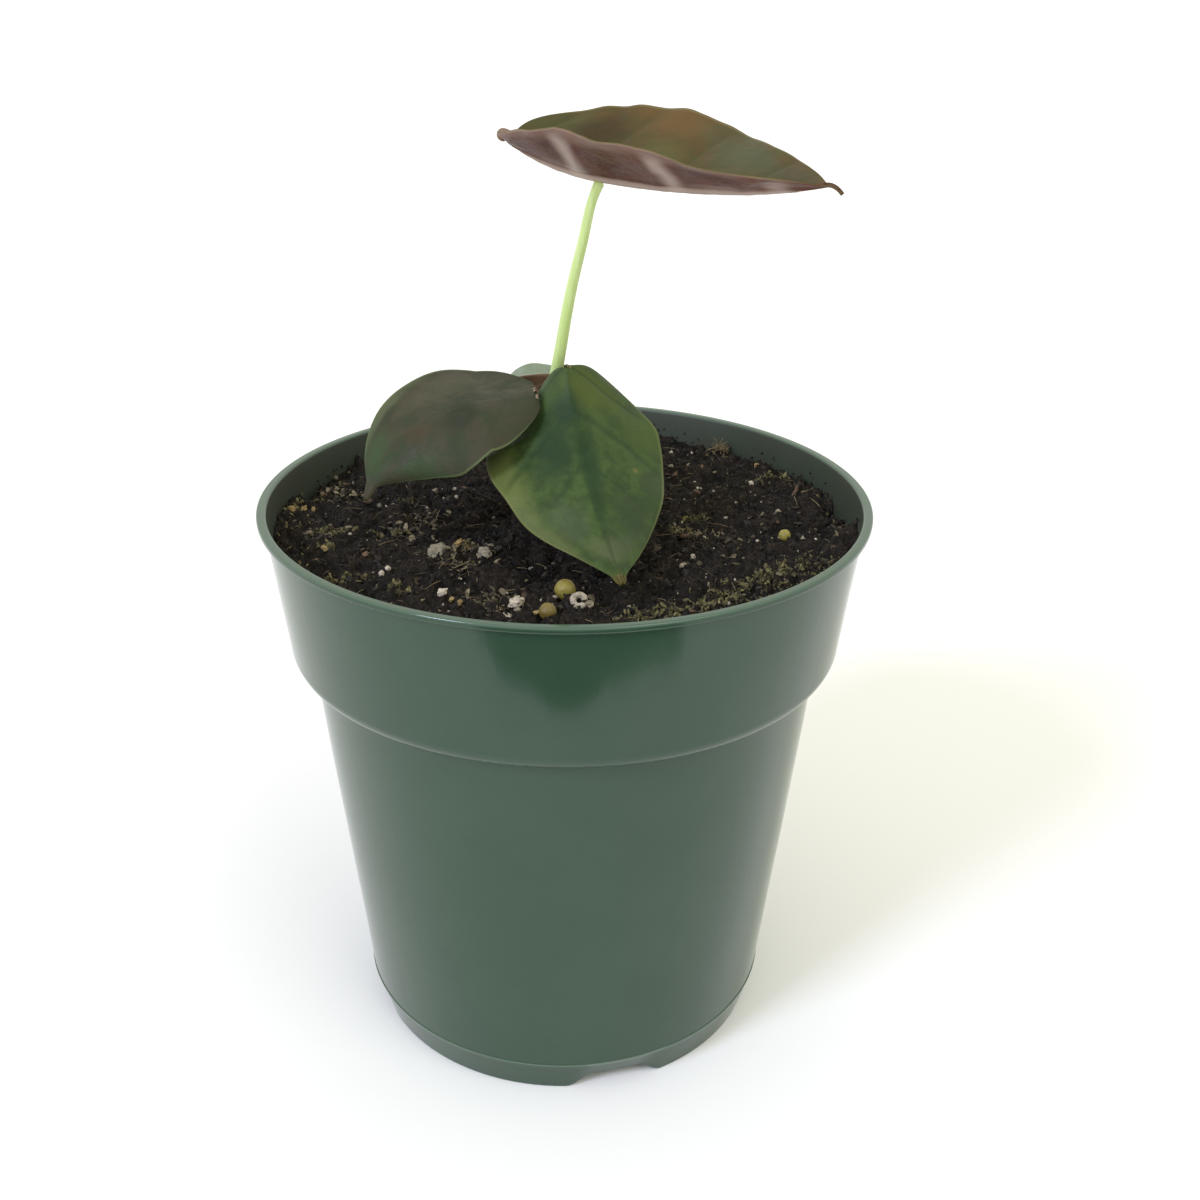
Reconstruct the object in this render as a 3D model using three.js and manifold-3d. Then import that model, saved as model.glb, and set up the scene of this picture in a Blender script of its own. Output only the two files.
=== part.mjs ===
// A young alocasia cuprea in a round plastic nursery pot filled with potting mix.
// Millimetres, +Z up. The origin is on the pot's axis, on the surface that the pot stands on,
// and -Y is the front. Four peltate leaves stand on petioles that rise from one crown.
import * as THREE from "three";
import { mergeVertices } from "three/addons/utils/BufferGeometryUtils.js";
import Module from "manifold-3d";

// Driving dimensions
const CLEARANCE = 0.3;
const ROUND_SIDES = 56;
const SMALL_ROUND_SIDES = 16;
const CORNER_STEPS = 4;
const MERGE_DISTANCE = 1e-4;
const NEARLY_ZERO = 1e-6;

const POT = {
  height: 97.1,
  wall: 0.9,
  rimRadius: 51,
  lipThickness: 1.1,
  edgeRounding: 0.35,
  bandTopRadius: 49.9,
  bandFootRadius: 47.2,
  shoulderRadius: 3.5,
  shoulderHeight: 74.3,
  shoulderStart: -70,
  partingHeight: 6.3,
  partingRadius: 36.9,
  footRadius: 35.3,
  footRingWidth: 1.6,
  floorUnderside: 3.2,
  floorThickness: 1.2,
};

const DRAIN = {
  count: 4,
  azimuth: 16,
  notchWidth: 17.5,
  notchHeight: 2.8,
  notchSlant: 5,
  holeDistance: 27.5,
  holeLength: 9,
  holeWidth: 5,
};

// The mix's surface is the sum of a broad swell and a slanting ripple, each with its wave lengths over
// one radian of X and Y.
const SOIL = {
  level: 91.2,
  rings: 8,
  swell: { height: 0.7, alongX: 8.5, alongY: 7.2, startX: 0.8, startY: -0.4 },
  ripple: { height: 0.35, alongX: 4.6, alongY: -5.4, start: 2 },
};

// The coarse grains that stand out of the mix, each as its X, Y and diameter.
const GRAINS = {
  standOut: 0.3,
  squash: 0.85,
  places: [
    [0.6, -28.1, 3.4],
    [-6.6, -32.2, 2.4],
    [-8, -35.3, 2.3],
    [2.8, -34.1, 2.7],
    [-1.7, -36.9, 2.8],
    [-20, -14.7, 3.4],
    [-12.7, -14.7, 2.5],
    [-16.4, -30.7, 2.3],
    [-16.1, -10.3, 2.3],
    [23.3, -30.2, 2.7],
    [32.4, -24.1, 2.3],
    [36.9, -2.1, 2.1],
  ],
};

const CROWN = { x: -2.8, y: 0.5, top: 92.4, radius: 4.9, socketDepth: 3 };
const CORM = { radius: 8, height: 21, middle: 79.5 };

// Each root leaves the corm lower than the one before. Its route gives its way out and its way down, as
// shares of its length.
const ROOTS = {
  count: 7,
  turn: 137.5,
  length: 44,
  shorter: 3,
  radius: 1.1,
  tipRadius: 0.6,
  firstBelowMiddle: 5,
  spacing: 0.6,
  sides: 6,
  steps: 7,
  route: [
    [0, 0],
    [0.3, 0.12],
    [0.52, 0.45],
    [0.6, 0.95],
  ],
};

// Shared by all blades. The lobes beside the petiole reach back most at a share of the width from the
// midrib, and the folds between veins sink below the flat blade by a share of their height.
const BLADE = {
  thickness: 0.6,
  ribHeight: 0.25,
  ribTaper: 0.25,
  edgeHalfWidth: 0.5,
  quiltSink: 0.6,
  lobeShare: 0.175,
  lobeFade: 6,
};
const PETIOLE = { sides: 10, steps: 14 };

// Each leaf: where its petiole meets the blade (attach), the blade's length, width and drip tip in
// millimetres, and its attitude in degrees. Heading turns from +X to +Y, and bends are over the length
// from the attachment to that end. Folds raise the two halves from the midrib, and cups add to the
// fold from midrib to margin, each given for the left half and then the right. Left is the side on the
// left hand of somebody looking to the tip. Each margin waves waveCount times, and each half swells by
// quilt between its side veins. Those leave the midrib from veinStart on, as a share of their spacing,
// and lean to the tip by veinLean of the length. The drip tip's end hangs down by dripDroop. A grid counts
// the rows along the blade and the columns on each half.
const LEAVES = {
  top: {
    attach: [5.2, 0.3, 148.7],
    length: 54,
    width: 37,
    dripTip: 2.4,
    dripDroop: 1.5,
    attachShare: 0.32,
    heading: -28,
    pitch: -4,
    roll: 7,
    bendTip: -14.5,
    bendBase: -22,
    twist: 3,
    fold: [26, 35.5],
    cup: [-3, 3.5],
    foldAtTip: 0.55,
    foldAtBase: 0.82,
    baseBluntness: 0.55,
    tipSharpness: 0.82,
    notch: 1,
    wave: 0.3,
    waveCount: 2.5,
    wavePhase: [0, 0.8],
    quilt: 0.45,
    veins: 4,
    veinStart: 0,
    veinLean: 0.12,
    grid: [30, 7],
    petiole: {
      base: [-5.2, 1.5],
      through: [
        [-4.6, 2.9, 101],
        [-1.6, 3.4, 117.9],
        [0.7, 1.7, 131.1],
        [2.55, 0.8, 139.2],
        [3.85, 0.4, 145.1],
      ],
      radii: [1.3, 0.74],
      approach: 0,
    },
  },
  left: {
    attach: [-13.3, -4.9, 114.7],
    length: 32.2,
    width: 26.5,
    dripTip: 2.5,
    dripDroop: 0,
    attachShare: 0.27,
    heading: 189,
    pitch: -6.5,
    roll: 15,
    bendTip: 58,
    bendBase: 1,
    twist: 12,
    fold: [-23.5, 17],
    cup: [-24.5, 7],
    foldAtTip: 1.95,
    foldAtBase: 1.2,
    baseBluntness: 0.58,
    tipSharpness: 0.93,
    notch: 0.8,
    wave: 0.3,
    waveCount: 3.2,
    wavePhase: [0.02, 0.9],
    quilt: 0.3,
    veins: 4,
    veinStart: 0.5,
    veinLean: 0.2,
    grid: [22, 6],
    petiole: {
      base: [-3.7, -2],
      through: [
        [-8.3, -1.2, 100],
        [-12, -1.8, 107],
      ],
      radii: [1.1, 0.65],
      approach: 3.5,
    },
  },
  front: {
    attach: [1.9, -10.1, 112.1],
    length: 39,
    width: 30.3,
    dripTip: 1.5,
    dripDroop: 0,
    attachShare: 0.28,
    heading: -73.5,
    pitch: -39.5,
    roll: -8,
    bendTip: -10.5,
    bendBase: -16,
    twist: 8,
    fold: [-3.5, -24],
    cup: [-11, -18.5],
    foldAtTip: 0.7,
    foldAtBase: 2.5,
    baseBluntness: 0.46,
    tipSharpness: 0.91,
    notch: 1,
    wave: 0.6,
    waveCount: 2.5,
    wavePhase: [-0.3, 0.95],
    quilt: 0.3,
    veins: 4,
    veinStart: 0.22,
    veinLean: 0.3,
    grid: [24, 6],
    petiole: {
      base: [-0.6, -0.8],
      through: [[-0.4, -2.2, 101]],
      radii: [1.1, 0.65],
      approach: 5,
    },
  },
  back: {
    attach: [-4.1, 11.1, 111.4],
    length: 20.9,
    width: 12.6,
    dripTip: 1,
    dripDroop: 0,
    attachShare: 0.28,
    heading: 5,
    pitch: -17,
    roll: -1.5,
    bendTip: 15.5,
    bendBase: 6,
    twist: 0,
    fold: [39.5, 43],
    cup: [-1, 2.5],
    foldAtTip: 1,
    foldAtBase: 1,
    baseBluntness: 0.5,
    tipSharpness: 0.85,
    notch: 0.6,
    wave: 0.2,
    waveCount: 2.5,
    wavePhase: [0.1, 0.5],
    quilt: 0.15,
    veins: 3,
    veinStart: 0.5,
    veinLean: 0.2,
    grid: [16, 4],
    petiole: {
      base: [-1.5, 3.2],
      through: [[-2.6, 6.4, 101]],
      radii: [0.95, 0.6],
      approach: 4,
    },
  },
};

const COLOURS = {
  pot: { color: 0x3f6b55, roughness: 0.35 },
  soil: { color: 0x2b231e, roughness: 0.95 },
  rhizome: { color: 0x8a6f4d, roughness: 0.8 },
  petiole: { color: 0xb4c883, roughness: 0.45 },
  blade_top: { color: 0x6d5a49, roughness: 0.4 },
  blade_left: { color: 0x57584e, roughness: 0.4 },
  blade_front: { color: 0x52683f, roughness: 0.4 },
  blade_back: { color: 0x7c8c78, roughness: 0.4 },
};

const wasm = await Module();
wasm.setup();

// The closed solid of a geometry whose shared vertices are merged.
function solidOf(geometry) {
  const bare = geometry.clone();
  bare.deleteAttribute("normal");
  bare.deleteAttribute("uv");
  const merged = mergeVertices(bare, MERGE_DISTANCE);
  const corners = merged.index.array;
  const triangles = [];
  for (let i = 0; i < corners.length; i += 3) {
    const [a, b, c] = corners.slice(i, i + 3);
    if (a !== b && b !== c && c !== a) triangles.push(a, b, c);
  }
  return new wasm.Manifold(
    new wasm.Mesh({
      numProp: 3,
      vertProperties: merged.attributes.position.array,
      triVerts: new Uint32Array(triangles),
    }),
  );
}

function geometryOf(solid) {
  const mesh = solid.getMesh();
  return new THREE.BufferGeometry()
    .setAttribute("position", new THREE.BufferAttribute(mesh.vertProperties, 3))
    .setIndex(new THREE.BufferAttribute(mesh.triVerts, 1));
}

// A profile of [radius, height] pairs, turned about +Z.
function turned(profile, sides = ROUND_SIDES) {
  const points = profile.map(([radius, height]) => new THREE.Vector2(radius, height));
  return new THREE.LatheGeometry(points, sides).rotateX(Math.PI / 2);
}

function arc(radius, height, size, from, to, steps) {
  return Array.from({ length: steps + 1 }, (_, i) => {
    const angle = THREE.MathUtils.degToRad(from + ((to - from) * i) / steps);
    return [radius + size * Math.cos(angle), height + size * Math.sin(angle)];
  });
}

// A round stem along a curve, thinning from its start to its end.
function taperedStem(curve, startRadius, endRadius, sides, steps) {
  const stem = new THREE.CylinderGeometry(endRadius, startRadius, 1, sides, steps);
  const frames = curve.computeFrenetFrames(steps);
  const place = stem.attributes.position;
  for (let i = 0; i < place.count; i++) {
    const along = place.getY(i) + 0.5;
    const frame = Math.round(along * steps);
    const point = curve
      .getPointAt(along)
      .addScaledVector(frames.binormals[frame], place.getX(i))
      .addScaledVector(frames.normals[frame], place.getZ(i));
    place.setXYZ(i, point.x, point.y, point.z);
  }
  return stem;
}

// The pot: tapered body, shoulder, deep band and a turned-out lip, as one moulding of even thickness.
const creaseRadius = POT.bandFootRadius - POT.shoulderRadius;
const creaseHeight = POT.shoulderHeight - POT.shoulderRadius;
const lipUnderside = POT.height - POT.lipThickness;
const floorTop = POT.floorUnderside + POT.floorThickness;

function bodyRadius(height) {
  const rise = (height - POT.partingHeight) / (creaseHeight - POT.partingHeight);
  return THREE.MathUtils.lerp(POT.partingRadius, creaseRadius, rise);
}

function bandRadius(height) {
  const rise = (height - POT.shoulderHeight) / (lipUnderside - POT.shoulderHeight);
  return THREE.MathUtils.lerp(POT.bandFootRadius, POT.bandTopRadius, rise);
}

function potGeometry() {
  const { wall, rimRadius, lipThickness, shoulderRadius, shoulderHeight, footRadius, footRingWidth } = POT;
  const edge = POT.edgeRounding;
  const innerLip = POT.bandTopRadius - wall;
  const profile = [
    [footRadius - footRingWidth, 0],
    [footRadius - edge, 0],
    [footRadius, edge],
    [POT.partingRadius, POT.partingHeight],
    [creaseRadius, creaseHeight],
    ...arc(creaseRadius, shoulderHeight, shoulderRadius, POT.shoulderStart, 0, CORNER_STEPS),
    [POT.bandTopRadius, lipUnderside],
    [rimRadius - edge, lipUnderside],
    [rimRadius, lipUnderside + edge],
    [rimRadius, POT.height - edge],
    [rimRadius - edge, POT.height],
    [innerLip + edge, POT.height],
    [innerLip, POT.height - lipThickness],
    ...arc(creaseRadius, shoulderHeight, shoulderRadius - wall, 0, -90, CORNER_STEPS),
    [creaseRadius - wall, creaseHeight + wall],
    [bodyRadius(floorTop) - wall, floorTop],
    [0, floorTop],
    [0, POT.floorUnderside],
    [footRadius - footRingWidth, POT.floorUnderside],
    [footRadius - footRingWidth, 0],
  ];
  let pot = solidOf(turned(profile));
  for (let i = 0; i < DRAIN.count; i++) {
    const turn = THREE.MathUtils.degToRad(DRAIN.azimuth - 90 + (i * 360) / DRAIN.count);
    pot = pot.subtract(solidOf(drainNotch(turn))).subtract(solidOf(drainHole(turn)));
  }
  return geometryOf(pot);
}

// A low gap in the foot ring whose ends slant up to its top, as seen from outside along its own radius.
function drainNotch(turn) {
  const half = DRAIN.notchWidth / 2;
  const { notchHeight: top, notchSlant: slant } = DRAIN;
  const outside = POT.partingRadius + POT.wall;
  const outline = new THREE.Shape();
  outline.moveTo(-half, -POT.wall);
  outline.lineTo(half, -POT.wall);
  outline.lineTo(half, 0);
  outline.lineTo(half - slant, top);
  outline.lineTo(-half + slant, top);
  outline.lineTo(-half, 0);
  const depth = outside - DRAIN.holeDistance;
  return new THREE.ExtrudeGeometry(outline, { depth, bevelEnabled: false })
    .rotateX(Math.PI / 2)
    .translate(0, outside, 0)
    .rotateZ(turn - Math.PI / 2);
}

// An oval hole through the floor behind each notch.
function drainHole(turn) {
  const through = 3 * POT.floorThickness;
  const hole = new THREE.CylinderGeometry(1, 1, through, SMALL_ROUND_SIDES).rotateX(Math.PI / 2);
  return hole
    .scale(DRAIN.holeWidth / 2, DRAIN.holeLength / 2, 1)
    .translate(DRAIN.holeDistance, 0, POT.floorUnderside + POT.floorThickness / 2)
    .rotateZ(turn);
}

// The potting mix fills the pot to below its rim. Its surface rolls gently, and coarse grains of perlite
// and fertiliser stand out of it.
function soilHeight(x, y) {
  const { swell, ripple } = SOIL;
  const broad = Math.sin(x / swell.alongX + swell.startX) * Math.cos(y / swell.alongY + swell.startY);
  const slanting = Math.sin(x / ripple.alongX + y / ripple.alongY + ripple.start);
  return SOIL.level + swell.height * broad + ripple.height * slanting;
}

function soilGrains() {
  return GRAINS.places.map(([x, y, diameter], i) => {
    const grain = new THREE.IcosahedronGeometry(diameter / 2).rotateZ(i).scale(1, 1, GRAINS.squash);
    return solidOf(grain.translate(x, y, soilHeight(x, y) + GRAINS.standOut * diameter));
  });
}

function soilGeometry(cavities) {
  const innerShoulder = POT.shoulderRadius - POT.wall;
  const floor = floorTop + CLEARANCE;
  const topRadius = bandRadius(SOIL.level) - POT.wall - CLEARANCE;
  const rings = Array.from({ length: SOIL.rings + 1 }, (_, i) => [
    topRadius * (1 - i / SOIL.rings),
    SOIL.level,
  ]);
  const profile = [
    [0, floor],
    [bodyRadius(floor) - POT.wall - CLEARANCE, floor],
    [creaseRadius - POT.wall - CLEARANCE, creaseHeight + POT.wall + CLEARANCE],
    ...arc(creaseRadius, POT.shoulderHeight, innerShoulder - CLEARANCE, -90, 0, CORNER_STEPS),
    ...rings,
  ];
  const geometry = turned(profile);
  const place = geometry.attributes.position;
  for (let i = 0; i < place.count; i++) {
    if (Math.abs(place.getZ(i) - SOIL.level) < MERGE_DISTANCE) {
      place.setZ(i, soilHeight(place.getX(i), place.getY(i)));
    }
  }
  const mix = soilGrains().reduce((soil, grain) => soil.add(grain), solidOf(geometry));
  return geometryOf(cavities.reduce((soil, cavity) => soil.subtract(cavity), mix));
}

// The rhizome: a short corm whose crown stands just out of the mix, with roots fused to it.
// Grow is the extra size that its hole in the mix needs.
function rhizomeSolid(grow) {
  const cormRadius = CORM.radius + grow;
  const corm = new THREE.SphereGeometry(cormRadius, SMALL_ROUND_SIDES, SMALL_ROUND_SIDES / 2)
    .rotateX(Math.PI / 2)
    .scale(1, 1, (CORM.height / 2 + grow) / cormRadius)
    .translate(CROWN.x, CROWN.y, CORM.middle);
  const neckTop = CROWN.top + grow;
  const neckRadius = CROWN.radius + grow;
  const neck = new THREE.CylinderGeometry(neckRadius, neckRadius, neckTop - CORM.middle, SMALL_ROUND_SIDES)
    .rotateX(Math.PI / 2)
    .translate(CROWN.x, CROWN.y, (neckTop + CORM.middle) / 2);
  let rhizome = solidOf(corm).add(solidOf(neck));
  for (let i = 0; i < ROOTS.count; i++) {
    rhizome = rhizome.add(rootSolid(i, grow));
  }
  return rhizome;
}

function rootSolid(i, grow) {
  const turn = THREE.MathUtils.degToRad(i * ROOTS.turn);
  const startHeight = CORM.middle - ROOTS.firstBelowMiddle - i * ROOTS.spacing;
  const length = ROOTS.length - ROOTS.shorter * (i % 3);
  const points = ROOTS.route.map(([out, down], k) => {
    const reach = k === ROOTS.route.length - 1 ? length + grow : length;
    const distance = out * reach;
    return new THREE.Vector3(
      CROWN.x + distance * Math.cos(turn),
      CROWN.y + distance * Math.sin(turn),
      startHeight - down * reach,
    );
  });
  const path = new THREE.CatmullRomCurve3(points);
  const root = taperedStem(path, ROOTS.radius + grow, ROOTS.tipRadius + grow, ROOTS.sides, ROOTS.steps);
  return solidOf(root);
}

// The directions of a blade at its attachment: to the tip, up out of the upper side, and to the left.
function bladeAxes(leaf) {
  const heading = THREE.MathUtils.degToRad(leaf.heading);
  const pitch = THREE.MathUtils.degToRad(leaf.pitch);
  const tipward = new THREE.Vector3(
    Math.cos(pitch) * Math.cos(heading),
    Math.cos(pitch) * Math.sin(heading),
    Math.sin(pitch),
  );
  const upward = new THREE.Vector3(
    -Math.sin(pitch) * Math.cos(heading),
    -Math.sin(pitch) * Math.sin(heading),
    Math.cos(pitch),
  ).applyAxisAngle(tipward, THREE.MathUtils.degToRad(leaf.roll));
  const leftward = upward.clone().cross(tipward);
  return { tipward, upward, leftward };
}

// Half the blade's width at a share of its length, from 0 at the base to 1 at the tip.
function halfWidth(leaf, share) {
  const { baseBluntness: p, tipSharpness: q } = leaf;
  const widest = p / (p + q);
  const inside = THREE.MathUtils.clamp(share, 0, 1);
  const outline = (inside ** p * (1 - inside) ** q) / (widest ** p * (1 - widest) ** q);
  return Math.hypot((outline * leaf.width) / 2, BLADE.edgeHalfWidth);
}

// A point of the blade's middle surface. Along runs from the base (0) to the end of the drip tip (1),
// across from the right margin (-1) over the midrib (0) to the left margin (1).
function bladePoint(leaf, axes, along, across) {
  const radians = THREE.MathUtils.degToRad;
  const { length, attachShare } = leaf;
  const run = along * (length + leaf.dripTip) - attachShare * length;
  const share = THREE.MathUtils.clamp(run / length + attachShare, 0, 1);
  const sideLength = run < 0 ? attachShare * length : (1 - attachShare) * length;
  const bend = radians(run < 0 ? leaf.bendBase : leaf.bendTip) / sideLength;
  const turn = bend * run;
  const midrib = new THREE.Vector3(...leaf.attach)
    .addScaledVector(axes.tipward, Math.sin(turn) / bend)
    .addScaledVector(axes.upward, (Math.cos(turn) - 1) / bend);
  const tipward = axes.tipward.clone().applyAxisAngle(axes.leftward, turn);
  const twist = (radians(leaf.twist) * run) / length;
  const upward = axes.upward.clone().applyAxisAngle(axes.leftward, turn);
  const leftward = axes.leftward.clone();
  const level = upward.clone();
  upward.multiplyScalar(Math.cos(twist)).addScaledVector(leftward, Math.sin(twist));
  leftward.multiplyScalar(Math.cos(twist)).addScaledVector(level, -Math.sin(twist));

  const side = across < 0 ? 1 : 0;
  const out = Math.abs(across);
  const atEnd = run < 0 ? leaf.foldAtBase : leaf.foldAtTip;
  const fade = 1 + ((atEnd - 1) * Math.abs(run)) / sideLength;
  const cup = radians(leaf.cup[side]) * fade * out;
  const slope = radians(leaf.fold[side]) * fade + cup / 2;
  const width = halfWidth(leaf, share);
  const straightness = Math.abs(cup) < NEARLY_ZERO ? 1 : Math.sin(cup / 2) / (cup / 2);
  const chord = width * out * straightness;
  const ripple = Math.sin(2 * Math.PI * (leaf.waveCount * share + leaf.wavePhase[side]));
  const wave = leaf.wave * out ** 3 * ripple * (width / (leaf.width / 2));
  const vein = Math.abs(Math.sin(Math.PI * (leaf.veins * (share - leaf.veinLean * out) + leaf.veinStart)));
  const swelling = 4 * out * (1 - out) * Math.min(1, width / (leaf.width / 3));
  const dome = leaf.quilt * (vein - BLADE.quiltSink) * swelling;
  const lobe = ((out * width) / (BLADE.lobeShare * leaf.width)) ** 2;
  const lobeShift = leaf.notch * lobe * Math.exp(1 - lobe) * (1 - share) ** BLADE.lobeFade;
  const onDripTip = Math.max(0, run - (1 - attachShare) * length) / leaf.dripTip;
  midrib.z -= leaf.dripDroop * onDripTip ** 2;
  return midrib
    .addScaledVector(leftward, Math.sign(across) * chord * Math.cos(slope))
    .addScaledVector(upward, chord * Math.sin(slope) + wave + dome)
    .addScaledVector(tipward, -lobeShift);
}

// The blade as a thin closed sheet, split into the same triangles on both faces, with a midrib below.
function bladeGeometry(leaf) {
  const axes = bladeAxes(leaf);
  const [rows, halfColumns] = leaf.grid;
  const columns = 2 * halfColumns;
  const sheet = new THREE.PlaneGeometry(2, 1, columns, rows);
  const place = sheet.attributes.position;
  const along = [];
  const across = [];
  for (let i = 0; i < place.count; i++) {
    along[i] = (1 - Math.cos(Math.PI * (place.getY(i) + 0.5))) / 2;
    across[i] = -place.getX(i);
    const point = bladePoint(leaf, axes, along[i], across[i]);
    place.setXYZ(i, point.x, point.y, point.z);
  }
  sheet.computeVertexNormals();
  const normal = sheet.attributes.normal;
  const count = place.count;
  const vertices = new Float32Array(6 * count);
  for (let i = 0; i < count; i++) {
    const onRib = Math.abs(across[i]) < NEARLY_ZERO;
    const rib = onRib ? BLADE.ribHeight * Math.min(1, (1 - along[i]) / BLADE.ribTaper) : 0;
    const above = BLADE.thickness / 2;
    const below = above + rib;
    const middle = [place.getX(i), place.getY(i), place.getZ(i)];
    const facing = [normal.getX(i), normal.getY(i), normal.getZ(i)];
    for (let k = 0; k < 3; k++) {
      vertices[3 * i + k] = middle[k] + above * facing[k];
      vertices[3 * (count + i) + k] = middle[k] - below * facing[k];
    }
  }
  const faces = [];
  const corners = sheet.index.array;
  for (let i = 0; i < corners.length; i += 3) {
    const [a, b, c] = corners.slice(i, i + 3);
    faces.push(a, b, c, count + c, count + b, count + a);
  }
  for (const [a, b] of rimOf(columns, rows)) {
    faces.push(b, a, count + a, b, count + a, count + b);
  }
  return new THREE.BufferGeometry()
    .setAttribute("position", new THREE.BufferAttribute(vertices, 3))
    .setIndex(faces);
}

// The edges round a plane of columns by rows, each as its two vertices, in the order of its faces.
function rimOf(columns, rows) {
  const wide = columns + 1;
  const loop = [];
  for (let i = 0; i < rows; i++) loop.push(i * wide);
  for (let i = 0; i < columns; i++) loop.push(rows * wide + i);
  for (let i = rows; i > 0; i--) loop.push(i * wide + columns);
  for (let i = columns; i > 0; i--) loop.push(i);
  return loop.map((vertex, i) => [vertex, loop[(i + 1) % loop.length]]);
}

// A petiole rises out of its socket in the crown and ends under its blade. Where it has an approach, it
// runs that far straight along the blade's own upward direction, and meets the underside squarely.
function petiolePath(leaf, grow) {
  const { base, through, approach } = leaf.petiole;
  const { upward } = bladeAxes(leaf);
  const gap = BLADE.thickness / 2 + BLADE.ribHeight + CLEARANCE;
  const beneath = (distance) => new THREE.Vector3(...leaf.attach).addScaledVector(upward, -distance);
  const straight = approach > 0 ? [beneath(gap + approach)] : [];
  return new THREE.CatmullRomCurve3([
    new THREE.Vector3(base[0], base[1], CROWN.top - CROWN.socketDepth - grow),
    ...through.map((point) => new THREE.Vector3(...point)),
    ...straight,
    beneath(gap),
  ]);
}

function petioleSolid(leaf, grow) {
  const [startRadius, endRadius] = leaf.petiole.radii.map((radius) => radius + grow);
  const path = petiolePath(leaf, grow);
  return solidOf(taperedStem(path, startRadius, endRadius, PETIOLE.sides, PETIOLE.steps));
}

const group = new THREE.Group();

function addPiece(name, geometry, finish) {
  const mesh = new THREE.Mesh(geometry, new THREE.MeshStandardMaterial(finish));
  mesh.name = name;
  group.add(mesh);
}

const sockets = Object.values(LEAVES).map((leaf) => petioleSolid(leaf, CLEARANCE));
const rhizome = sockets.reduce((solid, socket) => solid.subtract(socket), rhizomeSolid(0));

addPiece("pot", potGeometry(), COLOURS.pot);
addPiece("soil", soilGeometry([rhizomeSolid(CLEARANCE), ...sockets]), COLOURS.soil);
addPiece("rhizome", geometryOf(rhizome), COLOURS.rhizome);
for (const [name, leaf] of Object.entries(LEAVES)) {
  addPiece(`petiole_${name}`, geometryOf(petioleSolid(leaf, 0)), COLOURS.petiole);
  addPiece(`blade_${name}`, bladeGeometry(leaf), COLOURS[`blade_${name}`]);
}

export default group;
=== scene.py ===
# A young potted alocasia cuprea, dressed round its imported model. The frame is in metres, +Z up, with the
# pot's axis on Z and its front towards -Y. Sizes below are in millimetres and degrees unless they say more.
import math
import random

import bmesh
import bpy
import numpy as np
from mathutils import Euler, Matrix, Vector, noise


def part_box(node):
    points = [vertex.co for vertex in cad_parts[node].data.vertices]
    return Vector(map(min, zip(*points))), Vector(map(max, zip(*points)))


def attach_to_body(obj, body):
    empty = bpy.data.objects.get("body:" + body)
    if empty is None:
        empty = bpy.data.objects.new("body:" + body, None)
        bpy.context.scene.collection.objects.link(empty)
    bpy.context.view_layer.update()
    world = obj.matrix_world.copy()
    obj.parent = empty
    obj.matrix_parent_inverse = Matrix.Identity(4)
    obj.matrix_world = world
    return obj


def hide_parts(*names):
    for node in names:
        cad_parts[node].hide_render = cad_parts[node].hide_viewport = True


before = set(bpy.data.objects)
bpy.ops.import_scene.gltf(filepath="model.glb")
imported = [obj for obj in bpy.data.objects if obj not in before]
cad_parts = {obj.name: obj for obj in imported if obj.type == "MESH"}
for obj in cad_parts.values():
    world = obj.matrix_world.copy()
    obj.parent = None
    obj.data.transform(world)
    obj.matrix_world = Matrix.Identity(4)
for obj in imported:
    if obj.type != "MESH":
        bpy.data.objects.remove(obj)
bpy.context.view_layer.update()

MM = 0.001

# The pot is one injection moulding of green polypropylene, 0.9 mm thick. It has a tapered body, a deep
# band above a round shoulder, a turned-out lip, a fine flash line where the mould halves met, and a foot
# ring with four low notches that lead to four oval drain holes in its floor.
_, pot_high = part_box("pot")
INSIDE_CAD = 0.001
RIM_RADIUS = pot_high.x / MM - INSIDE_CAD
POT_HEIGHT = pot_high.z / MM
WALL = 0.9
LIP_UNDERSIDE = POT_HEIGHT - 1.1
BAND_TOP_RADIUS = 49.9
BAND_FOOT_RADIUS = 47.2
SHOULDER_RADIUS = 3.5
SHOULDER_HEIGHT = 74.3
CREASE_RADIUS = BAND_FOOT_RADIUS - SHOULDER_RADIUS
CREASE_HEIGHT = SHOULDER_HEIGHT - SHOULDER_RADIUS
PARTING_HEIGHT = 6.3
PARTING_RADIUS = 36.9
FOOT_RADIUS = 35.3
FOOT_INNER_RADIUS = 33.7
FLOOR_UNDERSIDE = 3.2
FLOOR_TOP = 4.4
FLASH = 0.13
FLASH_HALF_EDGE = 0.06
FLASH_FOOT = PARTING_HEIGHT - 0.2
FLASH_TOP = PARTING_HEIGHT + 0.15
PARTING_STEP = 0.02
# The bead in the crease: how far out in widths of the flash, and how far above the crease.
CREASE_BEAD = ((1, -0.3), (1.5, -0.16), (1, 0))
BEAD_FOOT = CREASE_HEIGHT - 0.5
SHOULDER_START = -70
EDGE_ROUNDING = 0.35
FOOT_INNER_ROUNDING = 0.2
INNER_LIP_ROUNDING = 0.6
INNER_LIP_FLARE = 0.3
INNER_FLARE_DEPTH = 3
SHARP_FROM = 40
POT_SIDES = 384
DRAINS = 4
DRAIN_AZIMUTH = 16
NOTCH_WIDTH = 17.5
NOTCH_HEIGHT = 2.8
NOTCH_SLANT = 5
DRAIN_DISTANCE = 27.5
DRAIN_LENGTH = 9
DRAIN_WIDTH = 5
DRAIN_SIDES = 40
# The wall is a little out of round: waves as share, count round the pot, rise for a radian, and start,
# which fade out above the parting line and below the lip.
WALL_WAVE = 0.05
WAVES = ((1, 3, 17, 0), (0.6, 5, -11, 1))
WAVE_FADES = (10, 8)
TOUCHING = 0.01


def mixed(start, end, share):
    return start + (end - start) * share


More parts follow.
